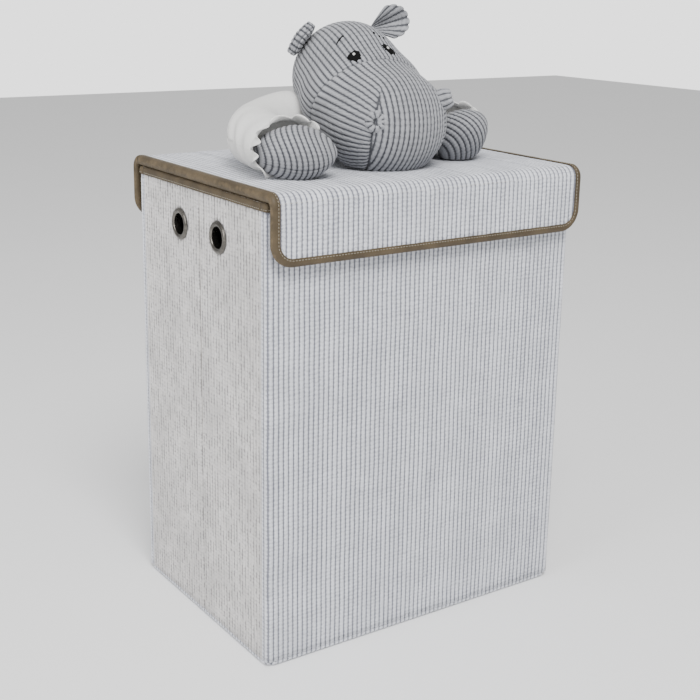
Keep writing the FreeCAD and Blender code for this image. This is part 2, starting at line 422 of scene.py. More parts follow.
def uneven(across, along, seed, wale):
    """Height of each rib and its small changes along the cloth, about 1."""
    rng = np.random.default_rng(seed)
    each = rng.normal(0, 1, 400)[np.clip((across / wale).astype(int) + 200, 0, 399)]
    return 1.0 + 0.06 * each + 0.09 * ripple(across * 0.6, along, seed + 1, 190.0)


def rib_steps(low, high, wale):
    """Places across the ribs from low to high, closer together near each groove."""
    first, last = math.floor(low / wale), math.ceil(high / wale)
    steps = [(k + stop) * wale for k in range(first, last + 1) for stop in RIB_STOPS]
    inside = [s for s in steps if low + 2e-4 < s < high - 2e-4]
    return np.array([low] + inside + [high])


def track(points, radii, step=0.0012):
    """Path through 2-D points with rounded corners: (distances, positions)."""
    pts = [np.array(p, float) for p in points]
    out = [pts[0]]
    for i in range(1, len(pts) - 1):
        a, b = unit(pts[i - 1] - pts[i]), unit(pts[i + 1] - pts[i])
        half = math.acos(max(-1.0, min(1.0, float(a @ b)))) / 2
        r = radii[i - 1]
        reach = r / math.tan(half)
        centre = pts[i] + unit(a + b) * (r / math.sin(half))
        p0, p1 = pts[i] + a * reach, pts[i] + b * reach
        n = max(4, int(r * (math.pi - 2 * half) / step))
        for k in range(n + 1):
            w = k / n
            d = unit(p0 - centre) * math.sin((1 - w) * (math.pi - 2 * half))
            d = d + unit(p1 - centre) * math.sin(w * (math.pi - 2 * half))
            out.append(centre + unit(d) * r)
    out.append(pts[-1])
    out = np.array(out)
    s = lengths(out)
    keep = np.concatenate([[True], np.diff(s) > 1e-7])
    return s[keep], out[keep]


def on_track(path, s):
    d, p = path
    return np.stack([np.interp(s, d, p[:, k]) for k in range(p.shape[1])], -1)


class Work:
    """Patches that make one piece: points, faces and the cloth coordinates at each point."""

    def __init__(self):
        self.points, self.faces, self.marks, self.looks = [], [], [], []
        self.count = 0

    def add(self, P, faces, crest=1.0, across=0.0, along=0.0, look=0):
        n = len(P)
        mark = np.zeros((n, 3))
        for k, value in enumerate((crest, across, along)):
            mark[:, k] = np.broadcast_to(np.asarray(value, float).ravel(), (n,)) \
                if np.ndim(value) else value
        faces = np.asarray(faces, int)
        self.points.append(np.asarray(P, float).reshape(-1, 3))
        self.faces.append(faces + self.count)
        self.marks.append(mark)
        self.looks.append(np.full(len(faces), look))
        self.count += n

    def loop(self, P, **marks):
        """Quads over P[nu, nv], whose last row of u joins the first."""
        nu, nv = P.shape[:2]
        i = np.arange(nu)[:, None] * nv + np.arange(nv - 1)[None, :]
        j = (i + nv) % (nu * nv)
        self.add(P.reshape(-1, 3), np.stack([i + 1, j + 1, j, i], -1).reshape(-1, 4),
                 **{k: v.ravel() for k, v in marks.items()})

    def shell(self, P, thick, flip=False, keep=None, **marks):
        """Closed cloth of that thickness behind the outer face P[nu, nv]."""
        nu, nv = P.shape[:2]
        N = grid_normals(P) * (-1 if flip else 1)
        inner = P - N * thick
        i = np.arange(nu - 1)[:, None] * nv + np.arange(nv - 1)[None, :]
        quads = np.stack([i, i + nv, i + nv + 1, i + 1], -1)
        keep = np.ones((nu - 1, nv - 1), bool) if keep is None else keep
        top = quads[keep]
        top = top[:, ::-1] if flip else top
        edges = np.concatenate([top[:, [k, (k + 1) % 4]] for k in range(4)])
        key = {tuple(e) for e in edges.tolist()}
        rim = np.array([e for e in edges.tolist() if (e[1], e[0]) not in key])
        off = nu * nv
        walls = np.stack([rim[:, 1], rim[:, 0], rim[:, 0] + off, rim[:, 1] + off], -1)
        both = {k: (np.concatenate([v.ravel(), v.ravel()]) if np.ndim(v) else v)
                for k, v in marks.items()}
        self.add(np.concatenate([P.reshape(-1, 3), inner.reshape(-1, 3)]),
                 np.concatenate([top, top[:, ::-1] + off, walls]), **both)

    def piece(self, name, looks, slot, mend=False):
        """The patches as one object, in the named finishes; its slot argument is not used."""
        P, F = np.concatenate(self.points), np.concatenate(self.faces)
        M, L = np.concatenate(self.marks), np.concatenate(self.looks)
        used = np.zeros(len(P), bool)
        used[F.ravel()] = True
        new = np.cumsum(used) - 1
        P, M, F = P[used], M[used], new[F]
        mesh = bpy.data.meshes.new(name)
        mesh.vertices.add(len(P))
        mesh.vertices.foreach_set("co", P.astype(np.float32).ravel())
        mesh.loops.add(F.size)
        mesh.loops.foreach_set("vertex_index", F.astype(np.int32).ravel())
        mesh.polygons.add(len(F))
        mesh.polygons.foreach_set("loop_start", np.arange(0, F.size, 4, dtype=np.int32))
        mesh.update(calc_edges=True)
        mesh.validate()
        rest = mesh.attributes.new("rest", "FLOAT_VECTOR", "POINT")
        rest.data.foreach_set("vector", P.astype(np.float32).ravel())
        for k, key in enumerate(("crest", "across", "along")):
            layer = mesh.attributes.new(key, "FLOAT", "POINT")
            layer.data.foreach_set("value", M[:, k].astype(np.float32))
        for look in looks:
            mesh.materials.append(finish(look))
        if len(mesh.polygons) == len(L):
            mesh.polygons.foreach_set("material_index", L.astype(np.int32))
        mesh.polygons.foreach_set("use_smooth", [True] * len(mesh.polygons))
        if mend:
            build = bmesh.new()
            build.from_mesh(mesh)
            bmesh.ops.recalc_face_normals(build, faces=build.faces)
            build.to_mesh(mesh)
            build.free()
        obj = bpy.data.objects.new(name, mesh)
        bpy.context.scene.collection.objects.link(obj)
        return obj


def ring_faces(ring, n):
    """Side quads of n + 1 rings of points, each ring long."""
    i = np.arange(n)[:, None] * ring + np.arange(ring)[None, :]
    j = np.arange(n)[:, None] * ring + (np.arange(ring)[None, :] + 1) % ring
    return np.stack([i, j, j + ring, i + ring], -1).reshape(-1, 4)


def tube(work, rings, turned=False, **marks):
    """Closed tube through rings[n, m, 3], with its ends filled towards their middles."""
    n, m = rings.shape[:2]
    start, end = rings[0].mean(0), rings[-1].mean(0)
    caps = [start + (rings[0] - start) * k for k in (0.02, 0.6)]
    ends = [end + (rings[-1] - end) * k for k in (0.6, 0.02)]
    full = np.concatenate([np.stack(caps), rings, np.stack(ends)])
    marks = {k: np.pad(np.broadcast_to(v, (n, m)), ((2, 2), (0, 0)), "edge").ravel()
             for k, v in marks.items()}
    faces = ring_faces(m, n + 3)
    work.add(full.reshape(-1, 3), faces if turned else faces[:, ::-1], **marks)


def stitches(work, P, T, N, look):
    """Row of thread stitches along points P, lying on the face with normal N."""
    c = settings("cloth")
    s = lengths(P)
    pitch = c.stitch + c.stitch_gap
    mids = np.arange(pitch * 0.7, s[-1] - pitch * 0.5, pitch)
    at = [np.stack([np.interp(mids, s, A[:, k]) for k in range(3)], -1) for A in (P, T, N)]
    ring = np.arange(6) * math.pi / 3
    ends = ((-0.5, 0.25), (-0.42, 0.8), (0.0, 1.0), (0.42, 0.8), (0.5, 0.25))
    for p, t, n in zip(at[0], unit(at[1]), unit(at[2])):
        b = np.cross(t, n)
        rows = [p + t * c.stitch * e + n * (0.25 - 1.2 * e * e) * c.thread
                + (np.cos(ring)[:, None] * b + np.sin(ring)[:, None] * n) * c.thread * r
                for e, r in ends]
        rings = np.array(rows)
        along = np.repeat(np.array([e for e, _ in ends])[:, None] * c.stitch, 6, 1)
        i = ring_faces(6, 4)[:, ::-1]
        work.add(rings.reshape(-1, 3), np.concatenate([i, [[0, 1, 2, 3], [0, 3, 4, 5],
                 [27, 26, 25, 24], [29, 28, 27, 24]]]), along=along.ravel(), look=look)


def bind(work, P, E, N, half, leg, seed):
    """Folded tape round an edge: P runs along the edge, E points out of it, N across it."""
    c = settings("cloth")
    half = np.broadcast_to(np.asarray(half, float), (len(P),))
    line = -leg + 2.0 * MM
    nose = [(-1.05 * min(half) * (1 - math.cos(math.radians(t))), math.sin(math.radians(t)))
            for t in np.linspace(90, -90, 15)]
    face = [(-leg, 0.98), (line - 0.8 * MM, 1.0), (line, 0.93), (line + 0.8 * MM, 1.02),
            (-leg * 0.55, 1.03)]
    outer = face + nose + [(a, -b) for a, b in reversed(face)]
    sec = np.array(outer + outer[::-1])
    skin = np.array([0.0] * len(outer) + [c.tape] * len(outer))
    sec[len(outer):, 0] = np.clip(sec[len(outer):, 0] - c.tape * 0.8, -leg, None)
    s = lengths(P)
    T = unit(np.gradient(P, axis=0))
    wave = ripple(s[:, None], np.arange(len(sec))[None, :] * 0.004, seed, 240.0) * 0.12 * MM
    a = sec[None, :, 0] + wave * (sec[None, :, 0] < -leg * 0.8)
    b = sec[None, :, 1] * (half[:, None] - skin[None, :]) + wave * np.sign(sec[None, :, 1])
    rings = P[:, None] + E[:, None] * a[..., None] + N[:, None] * b[..., None]
    # near marks the tape's rounded edge, where the binding finish paints a highlight in patches.
    near = 1.0 - np.minimum(1.0, np.abs(sec[:, 0]) / (4 * MM))
    turned = np.sum(np.cross(T, E) * N) < 0
    tube(work, rings, turned, crest=near[None], along=s[:, None])
    for side in (1, -1):
        row = P + E * line + N * (side * (half[:, None] * 0.97 + 0.05 * MM))
        stitches(work, row, T, N * side, 1)


def dense(path, step):
    """Evenly spaced positions on a track."""
    n = max(2, int(round(path[0][-1] / step)))
    return on_track(path, np.linspace(0, path[0][-1], n + 1))


def ride(obj, body, *nodes):
    if nodes:
        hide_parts(*nodes)
    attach(obj, body)
    return obj


def fold_side(obj, side, node):
    """A side's cloth in place of its two panels' nodes, with its transform baked into its points.
    """
    rear, front = side + "_rear", side + "_front"
    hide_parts(rear + "_" + node, front + "_" + node)
    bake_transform(obj)


# ---- the hamper's planes, read from the frame -------------------------------------------

FLAP_CORNER = 25.0 * MM     # radius of a flap's lower corners
CREASE = 13.0 * MM          # radius of the cloth where a flap leaves the lid
EYELET_LAP = 4.3 * MM       # how far an eyelet's flange covers the cloth


class Plan:
    """Planes of the hamper in metres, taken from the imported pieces."""

    def __init__(self):
        front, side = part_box("front_cover"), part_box("left_rear_cover")
        self.x, self.y = front[1][0], -front[0][1]
        self.foot = front[0][2]
        self.bound, self.top = (corner[2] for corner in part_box("front_rim_binding"))
        self.turn = -front[1][1]
        self.panel = side[1][1]
        self.wall = self.y - abs(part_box("front_lining")[0][1]) + 1.0 * MM
        self.inner = self.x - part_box("right_rear_lining")[0][0]
        lid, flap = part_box("lid_cover"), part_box("front_flap_cover")
        self.lid_top, self.lid_y = lid[1][2], lid[1][1]
        self.lid_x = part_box("lid_right_binding")[1][0]
        self.lid_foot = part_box("lid_lining")[0][2]
        self.flap_out, self.flap_in = -flap[0][1], -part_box("front_flap_lining")[1][1]
        self.flap_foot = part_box("front_flap_binding")[0][2]
        edge, low = self.flap_out - CREASE, self.lid_top - CREASE
        self.front_crease = ((0, -edge - 0.5 * MM, self.lid_top), (0, -self.flap_out, low))
        self.rear_crease = ((0, edge + 5 * MM, self.lid_top - 1.5 * MM), (0, self.flap_out, low))
        corner = [j for j in frame["joints"] if j["name"] == "right_rear_fold"][0]
        self.inner_pivot_x, self.pivot_y = abs(corner["pos_m"][0]), abs(corner["pos_m"][1])


PLAN = Plan()


def half_turn(P):
    return P * np.array([-1.0, -1.0, 1.0])


def upright(xy, z):
    """Points over a plan line xy[n, 2] at heights z[m]."""
    P = np.zeros((len(xy), len(z), 3))
    P[..., :2] = xy[:, None]
    P[..., 2] = z[None]
    return P


# ---- covers of the four walls -----------------------------------------------------------

def levels(low, high, step, fine=(), close=1.3 * MM):
    """Heights from low to high, closer together inside each (from, to) range in fine."""
    z = [low]
    while z[-1] < high - 1e-6:
        here = any(a <= z[-1] + 1e-6 and z[-1] < b for a, b in fine)
        nxt = z[-1] + (close if here else step)
        for a, b in fine:
            if z[-1] < a - 1e-6 < nxt:
                nxt = a
        z.append(min(nxt, high))
    return np.array(z)


def ribbed_wall(path, z, seed, flat_at=None):
    """Ribs standing on a plan path: (points, crest, across, along) for one cover."""
    c, p = settings("cloth"), PLAN
    half = path[0][-1] / 2
    s = rib_steps(-half, half, c.wale)
    S, Z = np.meshgrid(s, z, indexing="ij")
    calm = np.clip((half - np.abs(S)) / (8 * MM), 0, 1)
    sway = 0.35 * MM * ripple(S * 0.5, Z, seed, 60.0) * calm
    P = np.zeros(S.shape + (3,))
    P[..., :2] = on_track(path, S + sway + half)
    P[..., 2] = Z
    N = grid_normals(P)
    crest = rib(S, c.wale) * uneven(S, Z, seed, c.wale)
    # Lower crest just under the rim binding: flatter ribs and more of the groove's painted shade
    # there.
    under = 1 - 0.55 * np.clip((Z - (p.bound - 1 * MM)) / (2 * MM), 0, 1)
    crest = crest * under
    if flat_at is not None:
        crest = crest * flat_at(S, Z)
    soft = 0.28 * MM * ripple(S, Z, seed + 7, 22.0) * calm
    P = P + N * (crest * c.rib + np.minimum(soft, 0.3 * MM))[..., None]
    return P, crest, S, Z


class HAMPER_OT_wall_covers(bpy.types.Operator):
    """Corduroy covers of the front and back walls, turned round the corners"""
    bl_idname = "hamper.wall_covers"
    bl_label = "Front and back covers"

    def execute(self, context):
        c, p = settings("cloth"), PLAN
        x, y = p.x - c.rib, p.y - c.rib
        path = track([(-x, -p.turn), (-x, -y), (x, -y), (x, -p.turn)], (2.4 * MM, 2.4 * MM),
                     0.6 * MM)
        z = levels(p.foot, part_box("front_cover")[1][2], 9 * MM)
        for wall, seed in (("front", 11), ("back", 12)):
            P, crest, across, along = ribbed_wall(path, z, seed)
            work = Work()
            work.shell(P if wall == "front" else half_turn(P), c.cloth, crest=crest,
                       across=across, along=along)
            obj = work.piece(wall + "_cloth", ["corduroy"], "corduroy")
            ride(obj, wall + "_wall", wall + "_cover")
        return {"FINISHED"}


def eyelet_spots():
    """(y, z) of the two eyelets in each side and the radius of the hole in the cloth."""
    low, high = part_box("left_rear_eyelet")
    return (low[1] + high[1]) / 2, (low[2] + high[2]) / 2, (high[1] - low[1]) / 2


def eyelet_holes(P, y, z):
    """Pushes the points P of a flat sheet, at y and z, out of its two eyelet holes.

    Returns which of the sheet's quads are left.
    """
    at_y, at_z, flange = eyelet_spots()
    hole = flange - EYELET_LAP
    gap = np.zeros(y.shape, bool)
    for spot in (-at_y, at_y):
        r = np.hypot(y - spot, z - at_z)
        inside = r < hole
        gap |= inside
        grow = np.where(inside, hole / np.maximum(r, 0.4 * MM), 1.0)
        P[..., 1] = np.where(inside, spot + (P[..., 1] - spot) * grow, P[..., 1])
        P[..., 2] = np.where(inside, at_z + (P[..., 2] - at_z) * grow, P[..., 2])
    return ~(gap[:-1, :-1] & gap[1:, :-1] & gap[:-1, 1:] & gap[1:, 1:])


class HAMPER_OT_side_covers(bpy.types.Operator):
    """Side covers with a folding crease down the middle and holes for the eyelets"""
    bl_idname = "hamper.side_covers"
    bl_label = "Side covers"

    def execute(self, context):
        c, p = settings("cloth"), PLAN
        at_y, at_z, flange = eyelet_spots()
        x = p.x - c.rib
        path = track([(-x, p.panel), (-x, -p.panel)], ())
        z = levels(p.foot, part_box("left_rear_cover")[1][2], 8 * MM,
                   [(at_z - 19 * MM, at_z + 19 * MM)])

        def flat_at(S, Z):
            # Crest falls along the middle crease and round each eyelet's flange: flatter ribs and
            # the groove's painted shade there.
            r = np.minimum(np.hypot(S - at_y, Z - at_z), np.hypot(S + at_y, Z - at_z))
            crease = 1 - 0.9 * np.exp(-(S / (1.6 * MM)) ** 2)
            return np.clip((r - flange + 1.0 * MM) / (3 * MM), 0.1, 1) * crease

        for side, seed in (("left", 21), ("right", 22)):
            P, crest, S, Z = ribbed_wall(path, z, seed, flat_at)
            P[..., 0] += 1.1 * MM * np.exp(-(S / (2.2 * MM)) ** 2)
            keep = eyelet_holes(P, -S, Z)
            work = Work()
            P = P if side == "left" else half_turn(P)
            work.shell(P, c.cloth, keep=keep, crest=crest, across=S, along=Z)
            obj = work.piece(side + "_side_cloth", ["side_cloth"], "side_cloth")
            fold_side(obj, side, "cover")
        return {"FINISHED"}


class HAMPER_OT_tray(bpy.types.Operator):
    """Cloth tray under the walls: a ribbed hem and the sheet below it"""
    bl_idname = "hamper.tray"
    bl_label = "Bottom cloth"

    def execute(self, context):
        c, p = settings("cloth"), PLAN
        low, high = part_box("bottom_cloth")
        x, y, r = high[0] - c.rib, high[1] - c.rib, 11.2 * MM
        loop, ribs = [], []
        for k in range(4):
            wide, deep = (x, y) if k % 2 == 0 else (y, x)
            s = rib_steps(-(wide - r), wide - r, c.wale)
            run = [(v, -deep) for v in s]
            turn = np.linspace(-90, 0, 19)[1:-1]
            arc = [(wide - r + r * math.cos(math.radians(t)),
                    -deep + r + r * math.sin(math.radians(t))) for t in turn]
            a = math.radians(90 * k)
            spin = np.array([[math.cos(a), math.sin(a)], [-math.sin(a), math.cos(a)]])
            loop.append(np.array(run + arc) @ spin)
            bend = np.abs(np.sin(np.linspace(0, 3 * math.pi, 19)))[1:-1]
            ribs.append(np.concatenate([rib(s, c.wale), bend]))
        loop, crest = np.concatenate(loop), np.concatenate(ribs)
        out = np.where(np.abs(loop) < np.array([x - r, y - r]) - 1e-6, 0, loop
                       - np.sign(loop) * np.array([x - r, y - r]))
        out = unit(out)
        hem = high[2] - low[2]
        side = [(0.0, hem + 0.2 * MM, 0.7), (0.0, hem * 0.8, 1), (0.1, hem * 0.55, 1),
                (0.5, hem * 0.32, 0.8), (1.2, hem * 0.15, 0.5), (2.4, hem * 0.04, 0.2),
                (4.5, 0.0, 0.0)]
        rows, marks = [], []

        def row(inset, z, k, scale=1.0):
            xy = (loop * scale - out * inset * MM + out * (crest * k * c.rib)[:, None])
            rows.append(np.column_stack([xy, np.full(len(xy), z)]))
            marks.append(crest * k + (1 - k) * 0.8)

        for scale in (0.02, 0.4, 0.7, 0.93):
            row(0, 1.0 * MM, 0, scale)
        for inset, z in ((3.4, 1.0 * MM), (2.6, 1.6 * MM), (2.6, hem), (1.3, hem + 0.3 * MM)):
            row(inset, z, 0)
        for inset, z, k in side:
            row(inset, z, k)
        for scale in (0.93, 0.7, 0.4, 0.02):
            row(0, low[2] + 0.05 * MM, 0, scale)
        P = np.stack(rows, 1)
        work = Work()
        work.loop(P, crest=np.stack(marks, 1), across=P[..., 0], along=P[..., 2])
        obj = work.piece("bottom_tray", ["corduroy"], "corduroy", mend=True)
        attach(obj, "back_wall")
        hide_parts("bottom_cloth")
        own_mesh(obj)
        return {"FINISHED"}


class HAMPER_OT_corner_gussets(bpy.types.Operator):
    """Stretch cloth that closes the slit at each folding corner"""
    bl_idname = "hamper.corner_gussets"
    bl_label = "Corner gussets"

    def execute(self, context):
        p = PLAN
        z = levels(p.foot + 0.5 * MM, p.top - 1.0 * MM, 20 * MM)
        for side, sx in (("left", -1), ("right", 1)):
            for end, sy in (("rear", 1), ("front", -1)):
                name = side + "_" + end + "_gusset"
                work = Work()
                if (side, end) == ("right", "front"):
                    hub = np.array([p.inner_pivot_x * sx, p.pivot_y * sy])
                    t = np.radians(np.linspace(-6, 96, 25))
                    ring = np.column_stack([np.cos(t) * sx, -np.sin(t) * sy]) * 5.9 * MM + hub
                else:
                    y = np.linspace(p.panel - 0.5 * MM, p.turn + 0.5 * MM, 17) * sy
                    ring = np.column_stack([np.full(17, (p.x - 0.9 * MM) * sx), y])
                P = upright(ring, z)
                N = grid_normals(P)
                flip = float((N[..., 0] * sx).sum()) < 0
                work.shell(P, 0.8 * MM, flip=flip, crest=0.75, across=P[..., 1],
                           along=P[..., 2])
                obj = work.piece(name, ["lining"], "lining", mend=True)
                if (side, end) == ("right", "front"):
                    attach(obj, "front_wall")
                else:
                    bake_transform(obj)
        return {"FINISHED"}


class HAMPER_OT_linings(bpy.types.Operator):
    """Plain cloth that lines the walls and covers the floor plate"""
    bl_idname = "hamper.linings"
    bl_label = "Linings"

    def execute(self, context):
        p = PLAN
        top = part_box("front_lining")[1][2]
        z = levels(p.foot, top, 7 * MM)
        x, y, thick = p.x - p.inner, p.y - p.wall, 0.8 * MM
        path = track([(-x, -p.turn), (-x, -y), (x, -y), (x, -p.turn)], (1 * MM, 1 * MM), 0.8 * MM)
        s = np.linspace(0, path[0][-1], 140)
        for wall, seed in (("front", 31), ("back", 32)):
            self.sheet(wall, upright(on_track(path, s), z), seed, wall == "back", thick)
        y = np.linspace(p.panel, -p.panel, 90)
        at_z = eyelet_spots()[1]
        z = levels(p.foot, top, 7 * MM, [(at_z - 15 * MM, at_z + 15 * MM)], 2 * MM)
        for side, seed in (("left", 33), ("right", 34)):
            P = upright(np.column_stack([np.full(90, -x), y]), z)
            self.sheet(side, P, seed, side == "right", thick, True)
        low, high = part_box("base_cloth")
        gx, gy = np.meshgrid(np.linspace(low[0], high[0], 70), np.linspace(low[1], high[1], 50),
                             indexing="ij")
        P = np.stack([gx, gy, high[2] + 0.1 * MM * ripple(gx, gy, 35, 40.0) - 0.35 * MM], -1)
        work = Work()
        work.shell(P, 0.4 * MM, across=gx, along=gy)
        ride(work.piece("base_lining", ["lining"], "lining"), "base", "base_cloth")
        return {"FINISHED"}

    def sheet(self, name, P, seed, far, thick, holes=False):
        soft = 0.18 * MM * ripple(P[..., 0] + P[..., 1], P[..., 2], seed, 30.0)
        keep = None
        if holes:
            keep = eyelet_holes(P, P[..., 1].copy(), P[..., 2].copy())
        P = P - grid_normals(P) * soft[..., None]
        if far:
            P = half_turn(P)
        work = Work()
        work.shell(P, thick, flip=True, keep=keep, across=P[..., 0] + P[..., 1],
                   along=P[..., 2])
        obj = work.piece(name + "_lining_cloth", ["lining"], "lining")
        if not holes:
            ride(obj, name + "_wall", name + "_lining")
            return
        fold_side(obj, name, "lining")


class HAMPER_OT_rim_bindings(bpy.types.Operator):
    """Binding tape folded over the top edge of every wall"""
    bl_idname = "hamper.rim_bindings"
    bl_label = "Rim bindings"

    def execute(self, context):
        c, p = settings("cloth"), PLAN
        low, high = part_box("front_rim_binding")
        leg = high[2] - low[2]
        xo, yo = high[0], -low[1]
        xi, yi = p.x - p.inner - c.tape, p.y - p.wall - c.tape
        outer, inner = self.plan(xo, yo, 3.8 * MM), self.plan(xi, yi, 0.4 * MM)
        for wall in ("front", "back"):
            far, near = (outer, inner) if wall == "front" else (-outer, -inner)
            P = np.column_stack([(far + near) / 2, np.full(len(far), high[2])])
            N = np.column_stack([far - near, np.zeros(len(far))])
            self.tape(wall, P, unit(N), np.linalg.norm(N, axis=1) / 2, leg)
        for side, sx in (("left", -1), ("right", 1)):
            y = np.linspace(p.panel, -p.panel, 120)
            P = np.column_stack([np.full(120, sx * (xo + xi) / 2), y, np.full(120, high[2])])
            N = np.broadcast_to(np.array([sx, 0.0, 0.0]), P.shape).copy()
            self.tape(side, P, N, (xo - xi) / 2, leg)
        return {"FINISHED"}

    def plan(self, x, y, r):
        run = [(-x, -PLAN.turn), (-x, -y + r + 0.5 * MM)]
        arc = [(-x + r - r * math.cos(t), -y + r - r * math.sin(t))
               for t in np.linspace(0, math.pi / 2, 9)]
        left = run + arc
        mid = [(v, -y) for v in np.linspace(-x + r + 1 * MM, x - r - 1 * MM, 100)]
        return np.array(left + mid + [(-a, b) for a, b in reversed(left)])

    def tape(self, name, P, N, half, leg):
        E = np.broadcast_to(np.array([0.0, 0.0, 1.0]), P.shape).copy()
        work = Work()
        bind(work, P, E, N, half, leg, seed=len(name))
        obj = work.piece(name + "_rim_tape", ["binding", "thread"], "binding", mend=True)
        if name in ("front", "back"):
            ride(obj, name + "_wall", name + "_rim_binding")
            return
        fold_side(obj, name, "rim_binding")


# ---- lid and flaps ----------------------------------------------------------------------

def top_path():
    """The outer face of flaps and lid in (y, z), from the front flap's foot to the back's."""
    p = PLAN
    y, z = p.flap_out, p.lid_top
    return track([(-y, p.flap_foot + 2 * MM), (-y, z), (y, z), (y, p.flap_foot + 2 * MM)],
                 (CREASE, CREASE), 0.9 * MM)


def toy_dip(x, y):
    """How far the toy presses into the lid, 0 to 1."""
    spots = ((0.0, -0.02, 0.085), (-0.105, -0.05, 0.045), (0.105, -0.05, 0.045))
    dip = np.zeros(np.shape(x))
    for sx, sy, r in spots:
        dip = np.maximum(dip, np.exp(-((x - sx) ** 2 + (y - sy) ** 2) / r ** 2))
    return dip


def lid_cloth(s_from, s_to, seed, step=7.0 * MM):
    """Ribbed cloth of the lid and flaps between two distances along the top path."""
    c, p = settings("cloth"), PLAN
    path = top_path()
    total = path[0][-1]
    half = p.lid_x - 5 * MM
    u = rib_steps(-half, half, c.wale)
    turn_a = (p.lid_top - CREASE) - (p.flap_foot + 2 * MM)
    arc = CREASE * math.pi / 2
    bends = [(turn_a, turn_a + arc), (total - turn_a - arc, total - turn_a)]
    v = levels(s_from, s_to, step, bends, 1.3 * MM)
    U, V = np.meshgrid(u, v, indexing="ij")
    calm = np.clip((half - np.abs(U)) / (10 * MM), 0, 1)
    sway = 0.4 * MM * ripple(U * 0.5, V, 50, 55.0) * calm
    yz = on_track(path, V)
    P = np.stack([U + sway, yz[..., 0], yz[..., 1]], -1)
    N = grid_normals(P) if len(v) > 2 else None
    crest = rib(U, c.wale) * uneven(U, V, seed, c.wale)
    # Lower crest near the cloth's sides, beside the binding: flatter ribs and the groove's painted
    # shade there.
    crest = crest * (0.45 + 0.55 * np.clip((half - 4 * MM - np.abs(U)) / (2.5 * MM), 0, 1))
    puff = (1 - (np.abs(P[..., 0]) / half) ** 4) * np.clip(1 - (np.abs(P[..., 1]) / 0.147) ** 4,
                                                          0, 1)
    lift = 2.4 * MM * puff - 2.6 * MM * toy_dip(P[..., 0], P[..., 1]) * (puff > 0)
    lift = lift + 0.35 * MM * ripple(U, V, seed + 3, 26.0) * calm
    P = P + N * ((crest - 1.0) * c.rib + lift)[..., None]
    return P, crest, U, V


def flap_foot(x):
    """Height at x of a flap's lower edge inside its tape, with the round corners."""
    inset = 4 * MM
    r = FLAP_CORNER - inset
    over = np.clip(np.abs(x) - (PLAN.lid_x - inset - r), 0, r)
    return PLAN.flap_foot + inset + r - np.sqrt(np.maximum(r * r - over * over, 0))


class HAMPER_OT_lid_cloth(bpy.types.Operator):
    """Corduroy of the lid, running on over the front crease as the front flap"""
    bl_idname = "hamper.lid_cloth"
    bl_label = "Lid and flap cloth"

    def execute(self, context):
        c, p = settings("cloth"), PLAN
        total = top_path()[0][-1]
        turn = p.lid_top - CREASE - p.flap_foot - 2 * MM
        rear = total - turn - CREASE * math.pi / 2
        parts = (("lid_and_front_flap_cloth", 0.0, rear, ("lid", "front_flap"),
                  ("lid_cover", "front_flap_cover")),
                 ("rear_crease_cloth", rear - 1.5 * MM, rear + 5 * MM, ("lid", "back_wall"), ()),
                 ("back_flap_cloth", rear + 4.6 * MM, total, ("back_wall", "back_flap"),
                  ("back_flap_cover",)))
        lid_edge = (0, p.flap_out - CREASE, p.lid_top)
        spans = (p.front_crease, (lid_edge, p.rear_crease[0]), p.rear_crease)
        for (name, a, b, bodies, nodes), (start, end) in zip(parts, spans):
            P, crest, U, V = lid_cloth(a, b, 51)
            flap = P[..., 2] < p.flap_foot + FLAP_CORNER
            if flap.any():
                self.round_foot(P)
            work = Work()
            work.shell(P, c.cloth, crest=crest, across=U, along=V)
            obj = work.piece(name, ["corduroy"], "corduroy")
            if nodes:
                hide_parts(*nodes)
            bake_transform(obj)
        return {"FINISHED"}

    def round_foot(self, P):
        """Draws the cloth's foot in along the flap's round corners."""
        p, foot = PLAN, flap_foot(P[..., 0])
        low = P[..., 2] < p.lid_top - 30 * MM
        span = (p.lid_top - 30 * MM) - (p.flap_foot + 2 * MM)
        share = (P[..., 2] - p.flap_foot - 2 * MM) / span
        P[..., 2] = np.where(low, foot - 2 * MM + share * (p.lid_top - 28 * MM - foot), P[..., 2])


